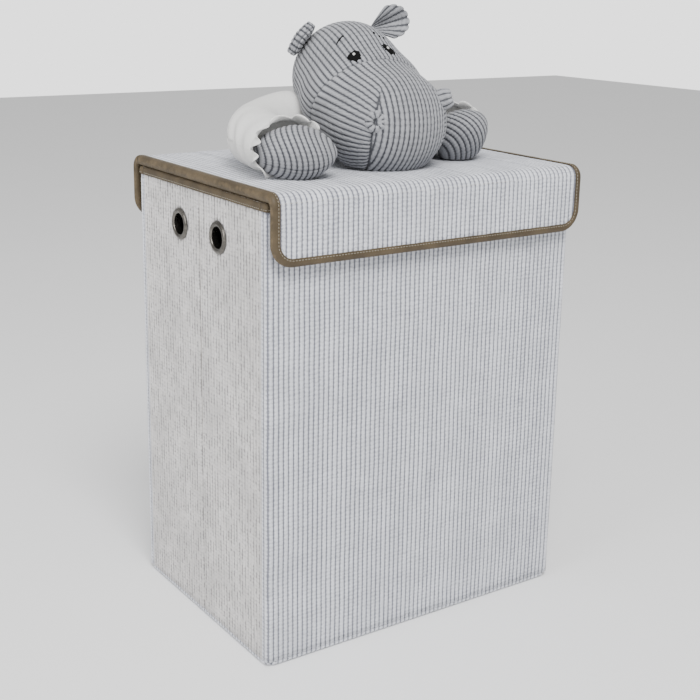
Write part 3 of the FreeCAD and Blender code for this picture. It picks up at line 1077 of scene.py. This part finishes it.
class HAMPER_OT_lid_tape(bpy.types.Operator):
    """Binding tape round the lid and both flaps"""
    bl_idname = "hamper.lid_tape"
    bl_label = "Lid and flap bindings"

    def execute(self, context):
        p = PLAN
        edge = p.flap_out - CREASE
        for name, bodies, nodes in (
                ("lid_tape", ("lid", "front_flap"),
                 ("lid_left_binding", "lid_right_binding", "front_flap_binding")),
                ("back_flap_tape", ("back_wall", "back_flap"), ("back_flap_binding",))):
            front = name == "lid_tape"
            P, E, N, half = self.line(edge if front else -edge - 4 * MM)
            if not front:
                P, E, N = half_turn(P), half_turn(E), half_turn(N)
            work = Work()
            bind(work, P, E, N, half, 9 * MM, seed=61)
            obj = work.piece(name, ["binding", "thread"], "binding", mend=True)
            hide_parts(*nodes)
            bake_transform(obj)
        return {"FINISHED"}

    def line(self, y_from):
        """Edge line of one flap and of the lid's sides back to y_from, left to right."""
        p = PLAN
        x, edge = p.lid_x, p.flap_out - CREASE
        low = p.lid_top - CREASE
        tape = settings("cloth").tape
        rc, rf = CREASE + tape - 5.4 * MM, CREASE + tape - 3.8 * MM
        P, E, N, H = [], [], [], []
        if y_from > -edge:
            for y in np.linspace(y_from, -edge, max(3, int((y_from + edge) / (4 * MM))))[:-1]:
                P.append((-x, y, low + rc))
                N.append((0, 0, 1))
                H.append(CREASE + tape - rc)
        first = 0.0 if y_from > -edge else math.asin(min(1.0, (-edge - y_from) / CREASE))
        for t in np.linspace(first, math.pi / 2, 10):
            r = rc + (rf - rc) * t / (math.pi / 2)
            P.append((-x, -edge - r * math.sin(t), low + r * math.cos(t)))
            N.append((0, -math.sin(t), math.cos(t)))
            H.append(CREASE + tape - r)
        E = [(-1, 0, 0)] * len(P)
        y, foot = -edge - rf, p.flap_foot
        loop = dense(track([(-x, low - 1 * MM), (-x, foot), (x, foot), (x, low - 1 * MM)],
                           (FLAP_CORNER, FLAP_CORNER)), 3 * MM)
        T = unit(np.gradient(loop, axis=0))
        flap = [(a, y, b) for a, b in loop]
        right = [(-a, b, d) for a, b, d in reversed(P)]
        P2 = np.array(P + flap + right)
        E2 = np.array(E + [(t[1], 0, -t[0]) for t in T] + [(1, 0, 0)] * len(right))
        N2 = np.array(N + [(0, -1, 0)] * len(flap) + N[::-1])
        H2 = np.array(H + [H[-1]] * len(flap) + H[::-1])
        return P2, E2, N2, H2


class HAMPER_OT_lid_linings(bpy.types.Operator):
    """Plain cloth under the lid, behind both flaps and along the lid's hinge"""
    bl_idname = "hamper.lid_linings"
    bl_label = "Lid and flap linings"

    def execute(self, context):
        p = PLAN
        z, x = p.lid_foot, p.lid_x - 4 * MM
        y = p.lid_y - 0.3 * MM
        path = track([(-y, z + 7 * MM), (-y, z), (y, z), (y, z + 7 * MM)], (1.5 * MM, 1.5 * MM))
        self.sheet("lid_lining_cloth", path, x, 41, "lid", "lid_lining")
        for flap, sy in (("front_flap", -1), ("back_flap", 1)):
            yi, foot, top = p.flap_in + 0.1 * MM, p.flap_foot + 3 * MM, p.lid_top - 9.5 * MM
            path = track([(-yi, foot), (-yi, top), (-yi - 5 * MM, top)], (1.2 * MM,))
            self.sheet(flap + "_lining_cloth", path, x, 42, flap, flap + "_lining", sy > 0,
                       True)
        low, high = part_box("lid_hinge_strip")
        t = np.linspace(0, 2 * math.pi, 17)[:-1]
        cy, cz = (low[1] + high[1]) / 2, (low[2] + high[2]) / 2
        hy, hz = (high[1] - low[1]) / 2, (high[2] - low[2]) / 2
        xs = np.linspace(low[0], high[0], 90)
        k = lambda v: np.sign(v) * np.abs(v) ** 0.45
        rings = np.stack([np.stack([np.full(16, a), cy + hy * k(np.cos(t)), cz + hz * k(np.sin(t))],
                                   -1) for a in xs])
        rings[..., 2] += 0.2 * MM * ripple(rings[..., 0], rings[..., 1], 44, 60.0)
        work = Work()
        tube(work, rings, across=rings[..., 0], along=rings[..., 2])
        ride(work.piece("hinge_strip_cloth", ["lining"], "lining", mend=True), "back_wall",
             "lid_hinge_strip")
        return {"FINISHED"}

    def sheet(self, name, path, x, seed, body, node, far=False, corners=False):
        p = PLAN
        u = np.linspace(-x, x, 120)
        v = np.linspace(0, path[0][-1], max(20, int(path[0][-1] / (4 * MM))))
        U, V = np.meshgrid(u, v, indexing="ij")
        yz = on_track(path, V)
        P = np.stack([U, yz[..., 0], yz[..., 1]], -1)
        if corners:
            low = P[..., 2] < p.lid_top - 30 * MM
            P[..., 2] = np.where(low, np.maximum(P[..., 2], flap_foot(U)), P[..., 2])
        N = grid_normals(P)
        P = P + N * (0.15 * MM * ripple(U, V, seed, 30.0))[..., None]
        if far:
            P = half_turn(P)
        work = Work()
        work.shell(P, 0.7 * MM, flip=True, across=U, along=V)
        ride(work.piece(name, ["lining"], "lining"), body, node)


class HAMPER_OT_kept_parts(bpy.types.Operator):
    """Finishes for the eyelets, boards and wadding, whose shapes come with the frame"""
    bl_idname = "hamper.kept_parts"
    bl_label = "Eyelets, boards and wadding"

    def execute(self, context):
        for name, node in frame["nodes"].items():
            kind = ("eyelet_metal" if name.endswith(("_eyelet", "_washer")) else
                    "board" if name.endswith("_board") else
                    "wadding" if name.endswith("_wadding") else None)
            if kind:
                node.data.materials.clear()
                node.data.materials.append(finish(kind))
                if kind == "eyelet_metal":
                    node.data.shade_smooth()
                    edge = node.modifiers.new("Soft edges", "EDGE_SPLIT")
                    edge.split_angle = math.radians(35)
        return {"FINISHED"}


# ---- the soft toy -----------------------------------------------------------------------
# Each body is (middle from the centre of the lid's top, axis, half length, radius) in mm.

SKULL = ((-7, 7, 92), (0.07, 0, 1), 60, 60.5)
CHEEKS = ((-6, -22, 72), (1, 0, 0), 72, 57)
MUZZLE = ((-3, -60, 49), (1, 0, -0.08), 69, 59.5)
HEAD_MIDDLE = (0, -32, 64)
BROW_SEAM = ((0, -36, 70), (-0.05, -0.88, -0.47))
LEFT_NOSTRIL, RIGHT_NOSTRIL = (-47, -104, 56), (46, -95, 74)


def body_reach(start, turns, shape):
    """Distance from start along each direction to the face of one egg-shaped body."""
    middle, axis, half, radius = shape
    axis, q = unit(np.array(axis, float)), np.array(start, float) - np.array(middle, float)
    more = 1 / half ** 2 - 1 / radius ** 2
    along = turns @ axis
    a = 1 / radius ** 2 + more * along ** 2
    b = turns @ q / radius ** 2 + more * along * (q @ axis)
    c = q @ q / radius ** 2 + more * (q @ axis) ** 2 - 1
    return (-b + np.sqrt(np.maximum(b * b - a * c, 0))) / a


def head_face(turns):
    """Points of the stuffed head in the given directions from its middle, in mm."""
    soft = 5.0
    total = sum(np.exp(body_reach(HEAD_MIDDLE, turns, body) / soft)
                for body in (SKULL, CHEEKS, MUZZLE))
    P = np.array(HEAD_MIDDLE, float) + turns * (soft * np.log(total))[..., None]
    bumps = ripple(P[..., 0] * MM, (P[..., 1] + 0.7 * P[..., 2]) * MM, 71, 55.0)
    return P + turns * (0.55 * bumps)[..., None]


def fan(P, middle, tilt, radius):
    """Cloth coordinate, in mm, across ribs that fan round a line tilted down to the front."""
    q = P - np.array(middle, float)
    high = q[..., 2] * math.cos(tilt) - q[..., 1] * math.sin(tilt)
    return radius * np.arctan2(q[..., 0], high)


def off_seam(P):
    point, across = BROW_SEAM
    return (P - np.array(point, float)) @ unit(np.array(across, float))


def on_lid(P):
    """From mm above the lid's centre to the frame, never below the lid's top."""
    P = np.asarray(P, float).copy()
    P[..., 2] = np.where(P[..., 2] < 3, 3 * np.exp((P[..., 2] - 3) / 3) - 0.4, P[..., 2])
    return P * MM + np.array([0, 0, PLAN.lid_top])


def cheek_line(P):
    """Half width of the front panel of the muzzle at each point's height, in mm."""
    return 48 - 10 * ((np.clip(P[..., 2], 0, 90) - 42) / 38) ** 2


class HAMPER_OT_toy_head(bpy.types.Operator):
    """Stuffed head in two ribbed pieces with a brow seam and a panel down the front"""
    bl_idname = "hamper.toy_head"
    bl_label = "Toy head"

    def execute(self, context):
        t = settings("toy")
        n = t.across
        lat = np.linspace(-0.5 * math.pi + 0.006, 0.5 * math.pi - 0.006, n)
        lon = np.linspace(0, 2 * math.pi, n + 1)[:-1]
        A, B = np.meshgrid(lat, lon, indexing="ij")
        turns = np.stack([np.sin(A), np.cos(A) * np.cos(B), np.cos(A) * np.sin(B)], -1)
        P = head_face(turns)
        gap = off_seam(P)
        for name, side in (("toy_skull", -1), ("toy_muzzle", 1)):
            own = gap * side
            across, crest = self.ribs(P, side > 0), np.ones(P.shape[:2])
            dip = np.where(own > 0, 0.8 * np.exp(-(own / 2.0) ** 2), 0.8 - own * 1.3)
            if side > 0:
                edge = np.abs(np.abs(P[..., 0] + 2) - cheek_line(P))
                low = np.clip((88 - P[..., 2]) / 8, 0, 1) * (P[..., 1] < -50)
                dip = dip + low * 1.5 * np.exp(-(edge / 1.6) ** 2)
                # Crest falls along the cheek panel's seam: flatter ribs and the groove's painted
                # shade in the seam.
                crest = crest * (1 - 0.85 * low * np.exp(-(edge / 1.0) ** 2))
                for spot in (LEFT_NOSTRIL, RIGHT_NOSTRIL):
                    r = np.linalg.norm(P - np.array(spot, float), axis=-1)
                    ring = np.arctan2(P[..., 2] - spot[2], P[..., 0] - spot[0])
                    dip = dip - np.exp(-(r / 13) ** 2) * (2.6 + 0.9 * np.cos(9 * ring))
            # mask also dims the brow seam: flatter ribs and a thin line of the groove's painted
            # shade.
            mask = crest * (1 - 0.35 * np.exp(-(own / 0.9) ** 2))
            lift = rib(across * MM, t.wale) * t.rib / MM * mask
            Q = on_lid(P + turns * (lift - dip)[..., None])
            k = own > -2.0
            keep = (k & np.roll(k, -1, 1))
            keep = keep[:-1] & keep[1:]
            i = np.arange(n - 1)[:, None] * n + np.arange(n)[None, :]
            j = np.arange(n - 1)[:, None] * n + (np.arange(n)[None, :] + 1) % n
            quads = np.stack([i, i + n, j + n, j], -1)[keep]
            work = Work()
            work.add(Q.reshape(-1, 3), quads, crest=mask.ravel(), across=(across * MM).ravel(),
                     along=(B * 62 * MM).ravel())
            obj = work.piece(name, ["toy_corduroy"], "toy_corduroy")
            self.close_ends(obj)
            ride(obj, "lid", "plush_head")
        return {"FINISHED"}

    def ribs(self, P, muzzle):
        """Cloth coordinate across the ribs in mm."""
        if not muzzle:
            return fan(P, (-4, 7, 80), math.radians(30), 66)
        over = fan(P, (-2, -60, 42), math.radians(11), 62)
        x = P[..., 0] + 2
        front = np.clip((112 - P[..., 2]) / 38, 0, 1)
        front = front * front * (3 - 2 * front)
        panel = np.where(P[..., 2] > 42, x * front + over * (1 - front), x)
        inside = (np.abs(x) < cheek_line(P)) & (P[..., 1] < -45)
        return np.where(inside, panel, over)

    def close_ends(self, obj):
        """Fills the small rings left at both sides of the head and turns the faces outwards."""
        build = bmesh.new()
        build.from_mesh(obj.data)
        rings = [e for e in build.edges if e.is_boundary
                 and abs(abs(e.verts[0].co.x) - abs(e.verts[1].co.x)) < 2 * MM
                 and abs(e.verts[0].co.x + 0.004) > 0.0655]
        bmesh.ops.holes_fill(build, edges=rings, sides=0)
        bmesh.ops.recalc_face_normals(build, faces=build.faces)
        middle = Vector(on_lid([HEAD_MIDDLE])[0])
        if sum(f.normal.dot(f.calc_center_median() - middle) for f in build.faces) < 0:
            bmesh.ops.reverse_faces(build, faces=build.faces)
        build.to_mesh(obj.data)
        build.free()


def square_to(aim):
    """Level and upward directions square to aim."""
    side = unit(np.cross(np.array([0, 0, 1.0]), aim))
    return side, np.cross(aim, side)


def head_patch(spot, radius, lift, ragged, seed):
    """Closed low dome lying on the head round the direction of spot: rings[n, m, 3]."""
    aim = unit(np.array(spot, float) - np.array(HEAD_MIDDLE, float))
    side, up = square_to(aim)
    m = 40
    a = np.arange(m) * 2 * math.pi / m
    rim = 1 + ragged * np.abs(np.sin(a * 5.5 + seed)) ** 3 * np.sign(np.sin(a * 3 + seed))
    rows, wide, tall = [], 0.95, 1.2
    steps = [(k / 9, lift * math.sqrt(max(0.0, 1 - (k / 9) ** 4)))
             for k in range(1, 10)] + [(1.0, -0.8), (0.5, -1.4), (0.05, -1.4)]
    reach = np.linalg.norm(np.array(spot, float) - np.array(HEAD_MIDDLE, float))
    for share, high in steps:
        flat = side * (np.cos(a) * wide)[:, None] + up * (np.sin(a) * tall)[:, None]
        aimed = unit(aim * reach + flat * (radius * share * rim)[:, None])
        rows.append(head_face(aimed) + aimed * (high + 0.9))
    return on_lid(np.array(rows)), np.array([s for s, _ in steps])


class HAMPER_OT_toy_face(bpy.types.Operator):
    """Embroidered eyes with a light spot, brow stitches and gathered nostrils"""
    bl_idname = "hamper.toy_face"
    bl_label = "Toy face"

    def execute(self, context):
        for side, spot, size, shine in (
                ("left", (-35.4, -48, 118), 7.0, (-35.6, -47, 119.5)),
                ("right", (9, -47.5, 123.6), 6.8, (7.5, -47, 124.8))):
            work = Work()
            for place, radius, lift, ragged, look, seed in (
                    (spot, size, 1.5, 0.13, 0, 3), (shine, 1.5, 2.8, 0.1, 1, 5)):
                rings, share = head_patch(place, radius, lift, ragged, seed)
                tube(work, rings, along=share[:, None] * radius * MM)
                work.looks[-1][:] = look
            obj = work.piece(side + "_eye_stitching", ["eye_thread", "shine_thread"],
                             "eye_thread", mend=True)
            ride(obj, "lid", side + "_eye")
        brows = (("left_brow", [((-44, -25, 129), (-32, -22, 139))]),
                 ("right_brow", [((2, -27, 141), (3.7, -29, 139)), ((6, -31, 138), (8.5, -31, 136)),
                                 ((11.7, -31, 136), (14.3, -31, 135))]))
        for name, lines in brows:
            work = Work()
            for a, b in lines:
                self.strand(work, np.array(a, float), np.array(b, float))
            ride(work.piece(name, ["eye_thread"], "eye_thread", mend=True), "lid")
        for name, spot, aim, tall in (("left_nostril", LEFT_NOSTRIL, (-0.42, -0.9, 0.1), 4.6),
                                      ("right_nostril", RIGHT_NOSTRIL, (0.8, -0.5, 0.3), 10.5)):
            self.knob(name, np.array(spot, float), unit(np.array(aim)), tall)
        return {"FINISHED"}

    def strand(self, work, a, b):
        """One thick stitch lying over the ribs from a to b."""
        ends = np.linspace(0, 1, 9)
        mids = [a + (b - a) * k for k in ends]
        turns = unit(np.array(mids) - np.array(HEAD_MIDDLE, float))
        arch = 1.5 - 1.6 * (2 * ends - 1) ** 4
        line = head_face(turns) + turns * arch[:, None]
        T = unit(np.gradient(line, axis=0))
        side = unit(np.cross(T, turns))
        ring = np.arange(8) * math.pi / 4
        r = 0.85 * (1 - 0.5 * (2 * ends - 1) ** 6)
        rings = line[:, None] + (np.cos(ring)[None, :, None] * side[:, None]
                                 + np.sin(ring)[None, :, None] * turns[:, None]) * r[:, None, None]
        tube(work, on_lid(rings), along=ends[:, None] * 0.01)

    def knob(self, name, spot, aim, tall):
        """Cloth gathered into a puckered ring round a pulled-in middle, whose shade is painted in
        the black thread finish.
        """
        side, up = square_to(aim)
        turn = np.arange(144) * math.pi / 72
        gather = np.abs(np.cos(4.5 * turn + 0.25 * np.sin(2 * turn)))
        rows, folds = [], []
        for a in np.radians(np.concatenate([np.linspace(-55, 215, 44), [236, 250]])):
            ring = 6.6 + 4.6 * math.cos(a)
            high = tall * math.sin(a) if a < math.pi else 0.55 * tall * math.sin(a) * 1.6
            out = np.clip(ring / 5.0, 0, 1)
            r = ring + (1.5 * gather - 0.7) * out - (a > 3.6) * 0.3 * ring
            h = high + 1.4 * gather * out * max(0.0, math.sin(a))
            rows.append(spot + side * (r * np.cos(turn))[:, None]
                        + up * (r * np.sin(turn))[:, None] + aim * h[:, None])
            # folds: low crest in the gathers' valleys gives the groove's painted shade there.
            folds.append(np.clip((0.15 + 1.1 * gather) * np.clip((ring - 2.3) / 1.8, 0, 1), 0, 1))
        work = Work()
        tube(work, on_lid(np.array(rows)), crest=np.array(folds),
             across=0.5 * settings("toy").wale, along=np.linspace(0, 0.02, len(rows))[:, None])
        # The innermost rows and the cap take the black thread finish: painted shade in the
        # pulled-in hole.
        dark = [0, 0] + [int(np.mean(fold) < 0.1) for fold in folds] + [1]
        work.looks[-1][:] = np.repeat(dark, 144)
        obj = work.piece(name, ["toy_corduroy", "eye_thread"], "toy_corduroy", mend=True)
        ride(obj, "lid")


class HAMPER_OT_toy_ears(bpy.types.Operator):
    """Round folded ears with ribs that spread from the root"""
    bl_idname = "hamper.toy_ears"
    bl_label = "Toy ears"

    def execute(self, context):
        for name, root, up, face, thick, cup in (
                ("left", (-53, 31, 130), (-0.55, -0.8, 0.26), (0.59, -0.59, -0.55), 6.2, 1.0),
                ("right", (25, 6, 146), (0.80, -0.30, 0.25), (-0.45, -0.85, 0.1), 4.6, 11.0)):
            size = (22.0, 14.0) if name == "left" else (18.5, 21.5)
            self.ear(name, *(np.array(v, float) for v in (root, up, face)), thick, cup, size)
        return {"FINISHED"}

    def ear(self, name, root, up, face, thick, cup, size):
        t = settings("toy")
        up = unit(up)
        face = unit(face - up * (face @ up))
        side = np.cross(up, face)
        m, (wide, tall) = 150, size
        turn = np.arange(m) * 2 * math.pi / m
        edge = np.linspace(0.02, 0.93, 24)
        rows = [(r, 1.0) for r in edge] + [(0.93 + 0.07 * math.sin(a), math.cos(a))
                for a in np.linspace(0.2, math.pi - 0.2, 9)] + [(r, -1.0) for r in edge[::-1]]
        out, marks, spread = [], [], []
        for r, f in rows:
            X, Y = wide * r * np.sin(turn), tall * (1 - r * np.cos(turn))
            X = X * (0.45 + 0.55 * np.clip(Y / 18, 0, 1))
            body = thick * math.sqrt(1 - 0.72 * r ** 3) * f * (0.75 + 0.25 * np.clip(Y / 20, 0, 1))
            fold = -cup * np.exp(-(X / 7) ** 2) * np.clip(1.25 - Y / 42, 0, 1)
            curl = 0.55 * cup * (X / wide) ** 2
            fan = 30 * np.arctan2(X, Y + 5)
            crest = rib(fan * MM, t.wale)
            lift = crest * 1.1
            notch = (0.4 + 0.9 * (thick > 5)) * np.cos(body * 1.1 + Y * 0.25) ** 8
            Z = body + fold + curl + f * lift * (1 - 0.4 * notch)
            grow = 1 + (0.05 * (crest - 0.6) - 0.035 * notch) * (r > 0.85)
            out.append(root + side * (X * grow)[:, None] + up * (Y * grow)[:, None]
                       + face * Z[:, None])
            # Marks dip at the left ear's notches: the groove's painted shade in those creases.
            marks.append(1 - 0.5 * np.clip(notch, 0, 1) * (thick > 5) + 0 * X)
            spread.append(fan * MM)
        work = Work()
        tube(work, on_lid(np.array(out)), crest=np.array(marks), across=np.array(spread),
             along=np.linspace(0, 0.05, len(rows))[:, None])
        stuffed(work, name + "_ear_cloth", "toy_corduroy", [name + "_ear"])


def stuffed(work, name, kind, node):
    """A padded piece of the toy on the lid, in place of its CAD node if it has one."""
    obj = ride(work.piece(name, [kind], kind, mend=True), "lid", *node)


def smooth_line(points, n):
    """Even smooth path (Catmull-Rom) through rows of numbers."""
    p = np.array(points, float)
    p = np.vstack([2 * p[0] - p[1], p, 2 * p[-1] - p[-2]])
    out = []
    for t in np.linspace(0, len(points) - 1 - 1e-6, n):
        i, f = int(t), t - int(t)
        a, b, c, d = p[i:i + 4]
        out.append(0.5 * (2 * b + (c - a) * f + (2 * a - 5 * b + 4 * c - d) * f ** 2
                          + (3 * b - a - 3 * c + d) * f ** 3))
    return np.array(out)


class HAMPER_OT_toy_body(bpy.types.Operator):
    """Cotton body and sleeves with creases and frilled cuffs"""
    bl_idname = "hamper.toy_body"
    bl_label = "Toy body and sleeves"

    def execute(self, context):
        m = 160
        turn = np.arange(m) * 2 * math.pi / m
        rows = []
        for v in np.linspace(-0.985, 0.985, 120):
            r = (1 - abs(v) ** 2.6) ** 0.5
            x = v * 73
            rows.append(np.column_stack([np.full(m, x), 44 + 46 * r * np.cos(turn),
                                         43 + 42 * r * np.sin(turn)]))
        P = np.array(rows)
        crease = ripple(P[..., 0] * 0.35 * MM, turn[None] * 0.02, 81, 150.0)
        P = P + grid_normals(P) * (1.0 * crease)[..., None] * -1
        seam = np.exp(-((turn[None] - 0.62) / 0.03) ** 2) + np.exp(-((P[..., 0]) / 1.2) ** 2)
        P[..., 1:] -= (P[..., 1:] - np.array([44, 43])) * (0.025 * np.clip(seam, 0, 1))[..., None]
        work = Work()
        tube(work, on_lid(P), across=P[..., 0] * MM, along=turn[None] * 0.045)
        stuffed(work, "toy_body_cloth", "toy_cotton", ["plush_torso"])
        for name, sx in (("left", -1), ("right", 1)):
            self.sleeve(name, sx)
        return {"FINISHED"}

    def sleeve(self, name, sx):
        path = ([(42, 36, 45, 30), (66, 38, 43, 35), (92, 32, 39, 35.5), (118, 14, 36, 33.5),
                 (133, -12, 34, 31.5), (139, -38, 32, 31.5), (139, -60, 32, 33.5),
                 (136, -77, 31.5, 34.5)] if sx < 0 else
                [(42, 38, 45, 30), (60, 38, 43, 34), (80, 28, 40, 34), (95, 12, 37, 33),
                 (103, -6, 35, 32), (108, -22, 34, 32), (112, -38, 33, 33)])
        line = smooth_line(path, 130)
        C, R = line[:, :3] * np.array([sx, 1, 1]), line[:, 3]
        T = unit(np.gradient(C, axis=0))
        up = np.array([0, 0, 1.0])
        side = unit(np.cross(T, up))
        up = np.cross(side, T)
        m = 140
        a = np.arange(m) * 2 * math.pi / m
        s = np.linspace(0, 1, len(C))[:, None]
        inner = np.clip(-sx * np.cos(a)[None, :], 0, 1)
        bend = np.exp(-((s - 0.62) / 0.2) ** 2)
        crumple = ripple(s * 0.16, a[None] * 0.012 + s * 0.05, 90 + sx, 130.0)
        gathers = np.sin(s * 46 + 1.3 * np.sin(a)[None] + 2 * crumple) * inner * bend
        swell = 0.9 * crumple + 1.7 * gathers
        flare = np.clip((s - 0.93) / 0.07, 0, 1)
        frill = np.sin(a * 11 + 0.9 * np.sin(3 * a))[None]
        r = R[:, None] * (0.98 + 0.06 * flare) + swell * (1 - flare) + 2.4 * (1.1 + frill) * flare
        r = r - 0.6 * np.exp(-((s - 0.91) / 0.012) ** 2)
        slide = flare ** 2 * (4.0 * np.roll(frill, 4, 1) + 2.5 * np.sin(a * 3 + 1.0)[None])
        spread = np.clip((s - 0.72) / 0.2, 0, 1)
        wide, high = 1 + 0.24 * spread, 0.98 - 0.14 * spread
        outer = C[:, None] + side[:, None] * (r * wide * np.cos(a))[..., None] \
            + up[:, None] * (r * high * np.sin(a))[..., None] + T[:, None] * slide[..., None]
        back = outer[-1:-20:-1]
        middle = C[-1:-20:-1, None]
        inside = middle + (back - middle) * (1 - 1.3 / np.linalg.norm(back - middle, axis=-1,
                                                                      keepdims=True))
        rings = np.concatenate([outer, inside])
        work = Work()
        tube(work, on_lid(rings), across=a[None] * 0.033,
             along=np.concatenate([s * 0.21, (s * 0.21)[-1:-20:-1]]))
        stuffed(work, name + "_sleeve_cloth", "toy_cotton", [name + "_sleeve"])


class HAMPER_OT_toy_paws(bpy.types.Operator):
    """Corduroy paws with hooped ribs and a seam along the lower side"""
    bl_idname = "hamper.toy_paws"
    bl_label = "Toy paws"

    def execute(self, context):
        t = settings("toy")
        for name, middle, axis, across, half, wide in (
                ("left", (-132, -84, 26.5), (1, -0.47, 0.02), (-0.47, -1, 0.0), 43.0, 29.5),
                ("right", (112, -50, 27.5), (0.725, -0.30, 0.62), (1, 0.47, 0.0), 34.0, 39.0)):
            axis = unit(np.array(axis))
            side = unit(np.array(across) - axis * (np.array(across) @ axis))
            up = np.cross(side, axis)
            s = rib_steps(-0.987 * half * MM, 0.987 * half * MM, t.wale)
            m = 200
            a = np.arange(m) * 2 * math.pi / m
            v = s / (half * MM)
            body = np.where(v > 0, np.maximum(1 - np.abs(v) ** 2.1, 0) ** 0.62,
                            np.maximum(1 - np.abs(v) ** 2.2, 0) ** 0.55
                            * (1 - 0.08 * np.clip(-v / 0.5, 0, 1)))
            S, A = np.meshgrid(s, a, indexing="ij")
            low = np.abs((A + 0.55 + math.pi) % (2 * math.pi) - math.pi)
            far = np.abs((A - math.pi - 0.55 + math.pi) % (2 * math.pi) - math.pi)
            seam = np.exp(-(low / 0.03) ** 2) + np.exp(-(far / 0.03) ** 2)
            bow = 0.0045 * np.cos(A * 2 + 0.9) * (1 - np.abs(v[:, None]) ** 3)
            crest = rib(S, t.wale) * (1 - 0.5 * np.clip(seam, 0, 1))
            soft = 0.5 * ripple(S, A * 0.02, 95 + int(middle[0] > 0), 90.0)
            r = crest * 1.3 + (soft - seam * 0.8) * body[:, None]
            along = (S + bow) / MM
            wide_r, tall_r = wide * body[:, None] + r, 27.0 * body[:, None] + r
            P = np.array(middle) + axis * along[..., None] \
                + side * (wide_r * np.cos(A))[..., None] + up * (tall_r * np.sin(A))[..., None]
            work = Work()
            # crest dips along the seam: the groove's painted shade there.
            tube(work, on_lid(P), crest=1 - 0.4 * np.clip(seam, 0, 1), across=S, along=A * 0.028)
            stuffed(work, name + "_paw_cloth", "toy_corduroy", [name + "_paw"])
        return {"FINISHED"}


# ---- stage ------------------------------------------------------------------------------

class HAMPER_OT_stage(bpy.types.Operator):
    """Pale floor, soft studio light and the camera"""
    bl_idname = "hamper.stage"
    bl_label = "Stage"

    def execute(self, context):
        k = settings("stage")
        self.floor(k)
        world = bpy.data.worlds.new("Studio")
        world.use_nodes = True
        sky = world.node_tree.nodes["Background"]
        sky.inputs[0].default_value = (1.0, 1.0, 1.0, 1.0)
        seen = Nodes(world.node_tree).node("LightPath")
        feed(world.node_tree, sky.inputs[1], seen * 1.4 + k.sky)
        context.scene.world = world
        for name, power, size, place in (("Key", k.key, 1.6, (-0.8, -1.9, 2.9)),
                                         ("Fill", k.fill, 1.6, (-2.6, -0.4, 1.3))):
            data = bpy.data.lights.new(name, "AREA")
            data.energy, data.size, data.shape = power, size, "DISK"
            lamp = bpy.data.objects.new(name, data)
            lamp.location = place
            lamp.rotation_mode = "QUATERNION"
            aim = Vector((0, 0, 0.35)) - Vector(place)
            lamp.rotation_quaternion = aim.to_track_quat("-Z", "Y")
            context.scene.collection.objects.link(lamp)
        self.camera(k)
        return {"FINISHED"}

    def floor(self, k):
        mesh = bpy.data.meshes.new("Floor")
        work = bmesh.new()
        bmesh.ops.create_grid(work, x_segments=8, y_segments=8, size=6.0)
        work.to_mesh(mesh)
        work.free()
        floor = bpy.data.objects.new("Floor", mesh)
        f = Finish("Pale floor", 0.9)
        at = f.node("TexCoord", None, None, out=3)
        tone = f.noise(at, 3.0).within(0.2, 0.8)
        mesh.materials.append(f.paint(f.mix(tone, shade(k.floor, 0.99), k.floor)))
        bpy.context.scene.collection.objects.link(floor)
        floor.location.z = -0.4 * MM

    def camera(self, k):
        data = bpy.data.cameras.new("Camera")
        data.sensor_width, data.lens, data.shift_y = 36.0, k.lens, k.shift
        cam = bpy.data.objects.new("Camera", data)
        ahead = Vector((-math.sin(k.turn) * math.cos(k.pitch),
                        math.cos(k.turn) * math.cos(k.pitch), -math.sin(k.pitch)))
        right = Vector((math.cos(k.turn), math.sin(k.turn), 0))
        up = right.cross(ahead)
        leaned = right * math.cos(k.roll) + up * math.sin(k.roll)
        up = -right * math.sin(k.roll) + up * math.cos(k.roll)
        low, high = [Vector(corner) for corner in CAD_BOX]
        aim = Vector(((low.x + high.x) / 2, (low.y + high.y) / 2, k.aim))
        turn = Matrix((leaned, up, -ahead)).transposed().to_4x4()
        off_middle = Vector((-2.2, 2.1, 0)) * MM
        cam.matrix_world = Matrix.Translation(aim + off_middle - ahead * k.away) @ turn
        bpy.context.scene.collection.objects.link(cam)
        bpy.context.scene.camera = cam


SETTINGS = (("cloth", ClothSettings), ("toy", ToySettings), ("colour", ColourSettings),
            ("stage", StageSettings))
STEPS = (HAMPER_OT_stage, HAMPER_OT_wall_covers, HAMPER_OT_side_covers, HAMPER_OT_tray,
         HAMPER_OT_corner_gussets, HAMPER_OT_linings, HAMPER_OT_rim_bindings,
         HAMPER_OT_lid_cloth, HAMPER_OT_lid_tape, HAMPER_OT_lid_linings,
         HAMPER_OT_kept_parts, HAMPER_OT_toy_head, HAMPER_OT_toy_face, HAMPER_OT_toy_ears,
         HAMPER_OT_toy_body, HAMPER_OT_toy_paws)


class HAMPER_PT_steps(bpy.types.Panel):
    """Lists the steps that make the hamper"""
    bl_idname = "HAMPER_PT_steps"
    bl_label = "Hamper"
    bl_space_type = "VIEW_3D"
    bl_region_type = "UI"
    bl_category = "Hamper"

    def draw(self, context):
        for step in STEPS:
            self.layout.operator(step.bl_idname)
        for name, group in SETTINGS:
            for key in group.__annotations__:
                self.layout.prop(getattr(context.scene, "hamper_" + name), key)


def register():
    for name, group in SETTINGS:
        bpy.utils.register_class(group)
        setattr(bpy.types.Scene, "hamper_" + name, PointerProperty(type=group))
    for cls in (*STEPS, HAMPER_PT_steps):
        bpy.utils.register_class(cls)


def unregister():
    for cls in (HAMPER_PT_steps, *reversed(STEPS)):
        bpy.utils.unregister_class(cls)
    for name, group in reversed(SETTINGS):
        delattr(bpy.types.Scene, "hamper_" + name)
        bpy.utils.unregister_class(group)


def main():
    register()
    for step in STEPS:
        family, name = step.bl_idname.split(".")
        getattr(getattr(bpy.ops, family), name)()


if __name__ == "__main__":
    main()
